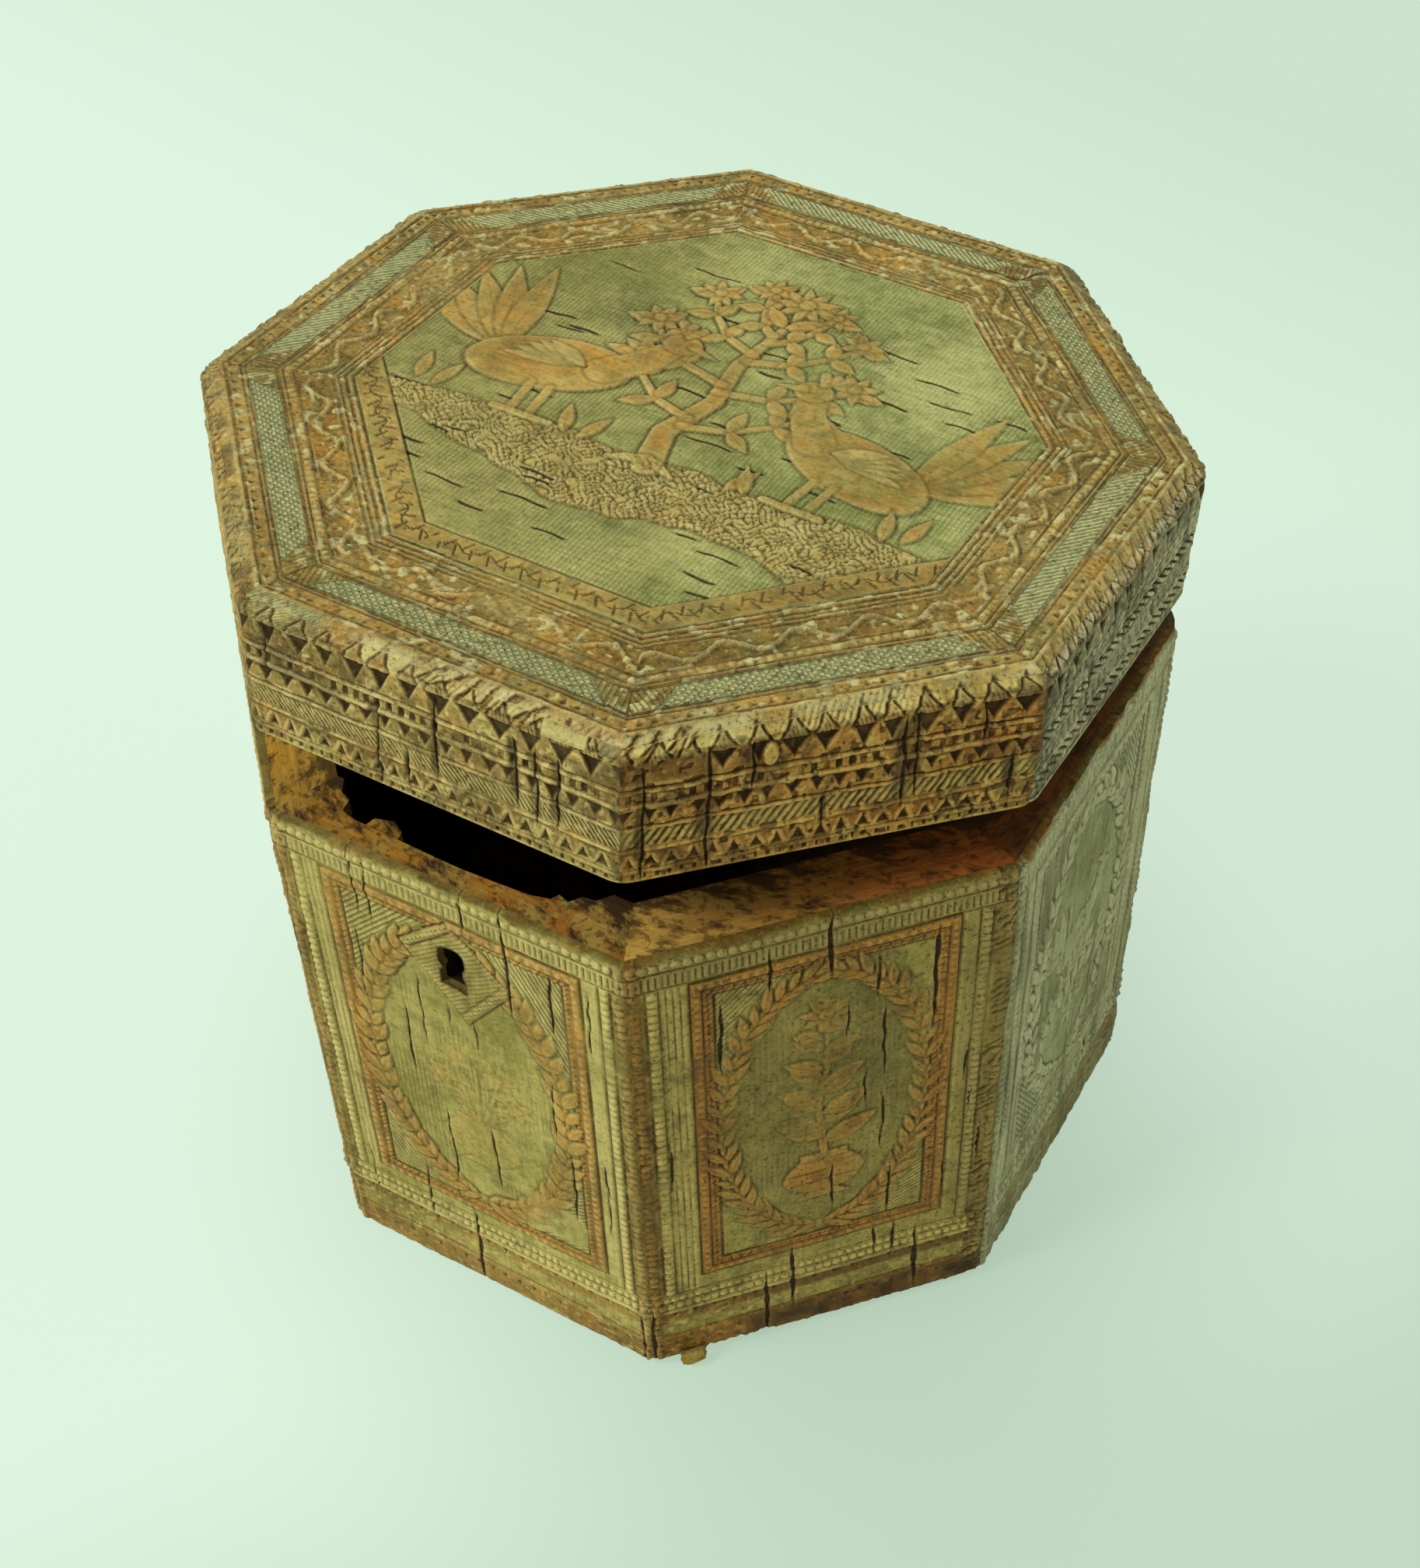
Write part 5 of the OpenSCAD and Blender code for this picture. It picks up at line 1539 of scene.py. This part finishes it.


# Old softwood, planed and stained: fine streaks, blotched dark where oil and damp got in, dull; painted shade
# darkens a wall's top towards the inside
def woodMaterial(name, look, turn=0.0, face=None):
    # turn: the way the grain runs, in radians from x; face: the wall whose outside is on that side
    material, tree, shader = newMaterial(name)
    place = addNode(tree, "TexCoord", {}, "Object")
    turned = addNode(tree, "Mapping", {"Vector": place, "Rotation": (0.0, 0.0, -turn)})
    stretched = addNode(tree, "Mapping", {"Vector": turned, "Scale": (90.0, 800.0, 800.0)})
    grain = addNode(tree, "TexNoise", {"Vector": stretched, "Scale": 1.0, "Detail": 4.0, "Roughness": 0.6})
    slanted = addNode(tree, "Mapping", {"Vector": turned, "Rotation": (0.0, 0.0, 0.5)})
    drawn = addNode(tree, "Mapping", {"Vector": slanted, "Scale": (130.0, 300.0, 300.0)})
    blotch = addNode(tree, "TexNoise", {"Vector": drawn, "Scale": 1.0, "Detail": 6.0, "Roughness": 0.68})
    patch = addNode(tree, "TexNoise", {"Vector": place, "Scale": 150.0, "Detail": 5.0, "Roughness": 0.65})
    speck = addNode(tree, "TexNoise", {"Vector": place, "Scale": 620.0, "Detail": 3.0, "Roughness": 0.6})
    shadeInward, share = 0.5, 0.5
    if face is not None:
        (nx, ny), (ax, ay), out = normals[face], alongs[face], distances[face] * mm
        across = addNode(tree, "VectorMath", {0: place, 1: (nx, ny, 0.0)}, "Value", operation="DOT_PRODUCT")
        shadeInward = addNode(tree, "MapRange",
                         {0: across, 1: out - innerShade["start"], 2: out - innerShade["full"], 3: 0.0, 4: 1.0})
        along = addNode(tree, "VectorMath", {0: place, 1: (ax, ay, 0.0)}, "Value", operation="DOT_PRODUCT")
        ends = [end * mm for end in faceEnds(face, 0)]
        share = addNode(tree, "MapRange", {0: along, 1: ends[0], 2: ends[1], 3: -0.25, 4: 0.75})
        share = addNode(tree, "Math", {0: patch, 1: share}, operation="ADD", use_clamp=True)
    colour = addNode(tree, "Mix", {0: share, 6: linear(look["left"]), 7: linear(look["right"])}, 2,
                     data_type="RGBA")
    tone = addNode(tree, "MapRange", {0: grain, 1: 0.32, 2: 0.68, 3: 0.6, 4: 1.22})
    colour = addNode(tree, "Mix", {0: 1.0, 6: colour, 7: tone}, 2, data_type="RGBA", blend_type="MULTIPLY")
    green = addNode(tree, "MapRange", {0: share, 1: 0.0, 2: 1.0, 3: look["mossy"][0], 4: look["mossy"][1]})
    moss = addNode(tree, "MapRange", {0: patch, 1: 0.46, 2: 0.54, 3: 0.0, 4: 1.0})
    moss = addNode(tree, "Math", {0: moss, 1: green}, operation="MULTIPLY")
    colour = addNode(tree, "Mix", {0: moss, 6: colour, 7: linear(look["patch"])}, 2, data_type="RGBA")
    # painted shade: a wall's top is darkened towards its inside edge, where the lid shades it, over the
    # blotches of stain
    blotchAndShade = addNode(tree, "Math", {0: shadeInward, 1: look["inner"], 2: blotch}, operation="MULTIPLY_ADD")
    blotchAndShade = addNode(tree, "MapRange", {0: blotchAndShade, 1: 0.52, 2: 0.63, 3: 0.0, 4: look["blotched"]})
    specks = addNode(tree, "MapRange", {0: speck, 1: 0.54, 2: 0.62, 3: 0.0, 4: look["blotched"] * 0.7})
    blotchAndShade = addNode(tree, "Math", {0: blotchAndShade, 1: specks}, operation="MAXIMUM")
    colour = addNode(tree, "Mix", {0: blotchAndShade, 6: colour, 7: linear(look["stain"])}, 2, data_type="RGBA")
    if face == 0:
        # painted shade: the wood round the bore of the keyhole is painted near black, as the hole lies in
        # shade
        hole = (0.0, 0.0, body["height"] * mm - keyhole["centre"] * mm - boreShade["above"])
        away = addNode(tree, "VectorMath", {0: place, 1: hole}, operation="SUBTRACT")
        away = addNode(tree, "VectorMath", {0: away, 1: (1.2, 0.0, 0.75)}, operation="MULTIPLY")
        away = addNode(tree, "VectorMath", {0: away}, "Value", operation="LENGTH")
        black = addNode(tree, "MapRange",
                        {0: away, 1: boreShade["start"], 2: boreShade["full"], 3: 0.0, 4: boreShade["cover"]})
        colour = addNode(tree, "Mix", {0: black, 6: colour, 7: linear(boreShade["colour"])}, 2, data_type="RGBA")
    rough = addNode(tree, "MapRange", {0: blotch, 1: 0.3, 2: 0.7, 3: 0.48, 4: 0.72})
    rise = 0.0
    for field, amount in ((grain, 0.25), (blotch, 0.3)):
        rise = addNode(tree, "Math", {0: field, 1: amount, 2: rise}, operation="MULTIPLY_ADD")
    bump = addNode(tree, "Bump", {"Height": rise, "Strength": 0.9, "Distance": 0.001})
    setInputs(tree, shader,
              {"Base Color": colour, "Roughness": rough, "Normal": bump, "Specular IOR Level": 0.25})
    return material


# inner: how far a wall's top is darkened towards its inside, as painted shade under the lid
wallWood = dict(left="#94641C", right="#7A521C", patch="#A3954A", stain="#2A1404", mossy=(0.3, 0.3),
                blotched=0.92, inner=0.24)
wallLooks = {
    "front": dict(wallWood, left="#A87E26", right="#8A5A1C", mossy=(0.1, 0.5), blotched=0.95),
    "front_left": dict(wallWood, left="#A07A28", right="#AE8228", mossy=(0.2, 0.2), blotched=0.85, inner=0.2),
    "front_right": dict(wallWood, left="#BC9C48", right="#9C5622", mossy=(0.6, 0.1), blotched=0.88,
                        inner=0.12),
    "right": dict(wallWood, left="#7C4416", right="#66401C", mossy=(0.0, 0.0), blotched=0.8, inner=0.28),
}
lidWood = dict(left="#735428", right="#7E5C2C", patch="#6E5A30", stain="#33230F", mossy=(0.2, 0.2),
               blotched=0.3, inner=0.1)
baseWood = dict(lidWood, left="#7C6038", right="#86683A", patch="#7A6238", stain="#3A2A14")


ironLook = dict(bare="#4A4642", rusty="#5E3A22")


# Hammered iron, long rusted and rubbed with wax: near black with brown bloom
def ironMaterial(name):
    material, tree, shader = newMaterial(name)
    place = addNode(tree, "TexCoord", {}, "Object")
    bloom = addNode(tree, "TexNoise", {"Vector": place, "Scale": 260.0, "Detail": 5.0, "Roughness": 0.65})
    dents = addNode(tree, "TexNoise", {"Vector": place, "Scale": 520.0, "Detail": 2.0})
    rust = addNode(tree, "MapRange", {0: bloom, 1: 0.46, 2: 0.62, 3: 0.0, 4: 1.0})
    colour = addNode(tree, "Mix", {0: rust, 6: linear(ironLook["bare"]), 7: linear(ironLook["rusty"])}, 2,
                     data_type="RGBA")
    bare = addNode(tree, "MapRange", {0: bloom, 1: 0.46, 2: 0.62, 3: 0.85, 4: 0.1})
    rough = addNode(tree, "MapRange", {0: bloom, 1: 0.4, 2: 0.65, 3: 0.42, 4: 0.8})
    bump = addNode(tree, "Bump", {"Height": dents, "Strength": 0.6, "Distance": 0.0003})
    setInputs(tree, shader, {"Base Color": colour, "Metallic": bare, "Roughness": rough, "Normal": bump})
    return material


# Each kind of bark: the material's name, its grain, its stains and how speckled it is
grainUp, grainAcross = (1400.0, 1400.0, 110.0), (110.0, 1400.0, 1400.0)
barkLooks = dict(
    upright=("carved birch bark, grain upright", grainUp, barkStain, 1.0),
    across=("carved birch bark, grain across", grainAcross, barkStain, 1.0),
    rough=("carved birch bark, rough", grainUp, barkStain, 1.8),
    lid=("carved birch bark of the lid", grainAcross, lidStain, 1.0),
    ring=("carved birch bark round the lid", grainUp, ringStain, 1.8),
    rim=("carved birch bark of the lid's front", grainUp, rimStain, 1.8),
    dull=("carved birch bark, dull", grainUp, dullShadedStain, 1.8),
    greySheen=("carved birch bark, greyAndSheened", (1400.0, 1400.0, 90.0), greySheenStain, 1.0))
barks = {key: barkMaterial(*look) for key, look in barkLooks.items()}
iron = ironMaterial("waxed rusty iron")
lidBoards = woodMaterial("planed softwood of the lid", lidWood)
baseBoard = woodMaterial("planed softwood of the base", baseWood)


def dress(piece, material):
    piece.data.materials.clear()
    piece.data.materials.append(material)


barkOf = dict(panel="lid", border="ring", wall_right="greySheen", wall_front_right="rough", rim_right="dull",
              rim_front="rim", rim_front_left="rim")
for key, piece in pieces.items():
    dress(piece, barks[barkOf.get(key, "rough" if key.startswith("rim_") else "upright")])
for name, node in frame["nodes"].items():
    if name.startswith("wall_"):
        side = name.removeprefix("wall_")
        k = faceNames.index(side)
        dress(node, woodMaterial("stained softwood, " + side.replace("_", " ") + " wall",
                                 wallLooks.get(side, wallWood), math.atan2(alongs[k][1], alongs[k][0]), k))
    elif "bark" in name:
        dress(node, barks["across" if name == "lid_bark_top" else "upright"])
    elif name.startswith("base_board"):
        dress(node, baseBoard)
    elif name.startswith("lid_"):
        dress(node, iron if "nail" in name or "leaf" in name or "pin" in name else lidBoards)
    else:
        dress(node, iron)
print("materials:", len(bpy.data.materials))

# The photograph's camera, worked out from the corners of the box
camera = dict(place=(0.1712, -0.2784, 0.4260), look=(-0.351, 0.57835, -0.73642),
              up=(-0.35216, 0.64718, 0.67612), lens=56.96)
cameraData = bpy.data.cameras.new("camera")
cameraData.lens, cameraData.sensor_width = camera["lens"], 36.0
cameraObject = bpy.data.objects.new("camera", cameraData)
bpy.context.scene.collection.objects.link(cameraObject)
ahead, up = Vector(camera["look"]).normalized(), Vector(camera["up"]).normalized()
across = ahead.cross(up).normalized()
up = across.cross(ahead)
turn = Matrix((across, up, -ahead)).transposed().to_4x4()
cameraObject.matrix_world = Matrix.Translation(camera["place"]) @ turn
bpy.context.scene.camera = cameraObject

# Soft daylight from the left, and an even pale room round the box
light = dict(direction=(0.44, 0.51, -0.72), strength=2.6, spread=24, room="#F0EED8", roomStrength=0.38,
             returned=(-0.75, -0.45, -0.3), returnedStrength=0.5)
for name, way, strength, spread, colour in (
        ("window", light["direction"], light["strength"], light["spread"], (1.0, 0.985, 0.94)),
        ("light back from the wall", light["returned"], light["returnedStrength"], 60, (0.92, 1.0, 0.82))):
    sun = bpy.data.lights.new(name, "SUN")
    sun.energy, sun.angle, sun.color = strength, math.radians(spread), colour
    sunObject = bpy.data.objects.new(name, sun)
    sunObject.rotation_euler = Vector(way).to_track_quat("-Z", "Y").to_euler()
    bpy.context.scene.collection.objects.link(sunObject)

# deep: the colour of the painted shade and shadow on the paper; plain: how much of the paper glows for the
# camera
backdrop = dict(pale="#DFF6E4", deep="#BED6C0", beyond="#D4ECD9", bounced="#D9DAC4", size=3.0, plain=0.8,
                shaded=(0.018, -0.011, 0.0), toNear=(0.81, -0.586, 0.0), toFar=(0.155, 0.988, 0.0))
world = bpy.data.worlds.new("pale room")
world.use_nodes = True
bpy.context.scene.world = world
tree = world.node_tree
tree.nodes.clear()
path = {out: addNode(tree, "LightPath", {}, out)
        for out in ("Is Camera Ray", "Is Glossy Ray", "Is Transmission Ray")}
seen = addNode(tree, "Math", {0: path["Is Camera Ray"], 1: path["Is Glossy Ray"]}, operation="MAXIMUM")
seen = addNode(tree, "Math", {0: seen, 1: path["Is Transmission Ray"]}, operation="MAXIMUM")
ambient = addNode(tree, "Background", {0: linear(light["room"]), 1: light["roomStrength"]})
shown = addNode(tree, "Background", {0: linear(backdrop["beyond"]), 1: 1.0})
room = addNode(tree, "MixShader", {0: seen, 1: ambient, 2: shown})
tree.links.new(room, tree.nodes.new("ShaderNodeOutputWorld").inputs["Surface"])

# A sheet of pale paper under the box, with painted shade: darker at the back and at the near right, and a
# painted shadow close to the box; for the camera it mostly glows in that colour
floorMesh = bpy.data.meshes.new("paper")
h = backdrop["size"] / 2
floorMesh.from_pydata([(-h, -h, 0), (h, -h, 0), (h, h, 0), (-h, h, 0)], [], [(0, 1, 2, 3)])
floor = bpy.data.objects.new("paper", floorMesh)
bpy.context.scene.collection.objects.link(floor)
material, tree, shader = newMaterial("matt pale paper")
place = addNode(tree, "TexCoord", {}, "Object")
near, far = (addNode(tree, "VectorMath", {0: place, 1: way}, "Value", operation="DOT_PRODUCT")
             for way in (backdrop["toNear"], backdrop["toFar"]))
shadowNearBox = addNode(tree, "VectorMath", {0: place, 1: backdrop["shaded"]}, "Value", operation="DISTANCE")
share = 0.0
# painted shade falling off towards the near right and the back, and a painted shadow round the box
for field, low, high, amount, way in (
        (near, 0.034, 0.154, 0.875, "SMOOTHSTEP"), (far, 0.144, 0.367, 0.595, "LINEAR"),
        (shadowNearBox, 0.133, 0.0, 1.3, "SMOOTHSTEP")):
    part = addNode(tree, "MapRange", {0: field, 1: low, 2: high, 3: 0.0, 4: amount}, interpolation_type=way)
    share = addNode(tree, "Math", {0: part, 1: share}, operation="ADD", use_clamp=True)
colour = addNode(tree, "Mix", {0: share, 6: linear(backdrop["pale"]), 7: linear(backdrop["deep"])}, 2,
                 data_type="RGBA")
isCamera = addNode(tree, "LightPath", {}, "Is Camera Ray")
bounced = addNode(tree, "Mix", {0: isCamera, 6: linear(backdrop["bounced"]), 7: colour}, 2, data_type="RGBA")
setInputs(tree, shader, {"Base Color": bounced, "Roughness": 0.9, "Specular IOR Level": 0.1})
plain = addNode(tree, "Math", {0: isCamera, 1: backdrop["plain"]}, operation="MULTIPLY")
glow = addNode(tree, "Emission", {0: colour, 1: 1.0})
paper = addNode(tree, "MixShader", {0: plain, 1: shader.outputs[0], 2: glow})
tree.links.new(paper, tree.nodes["Material Output"].inputs["Surface"])
dress(floor, material)

bpy.context.scene.view_settings.view_transform = "Standard"
print("camera, light and paper")
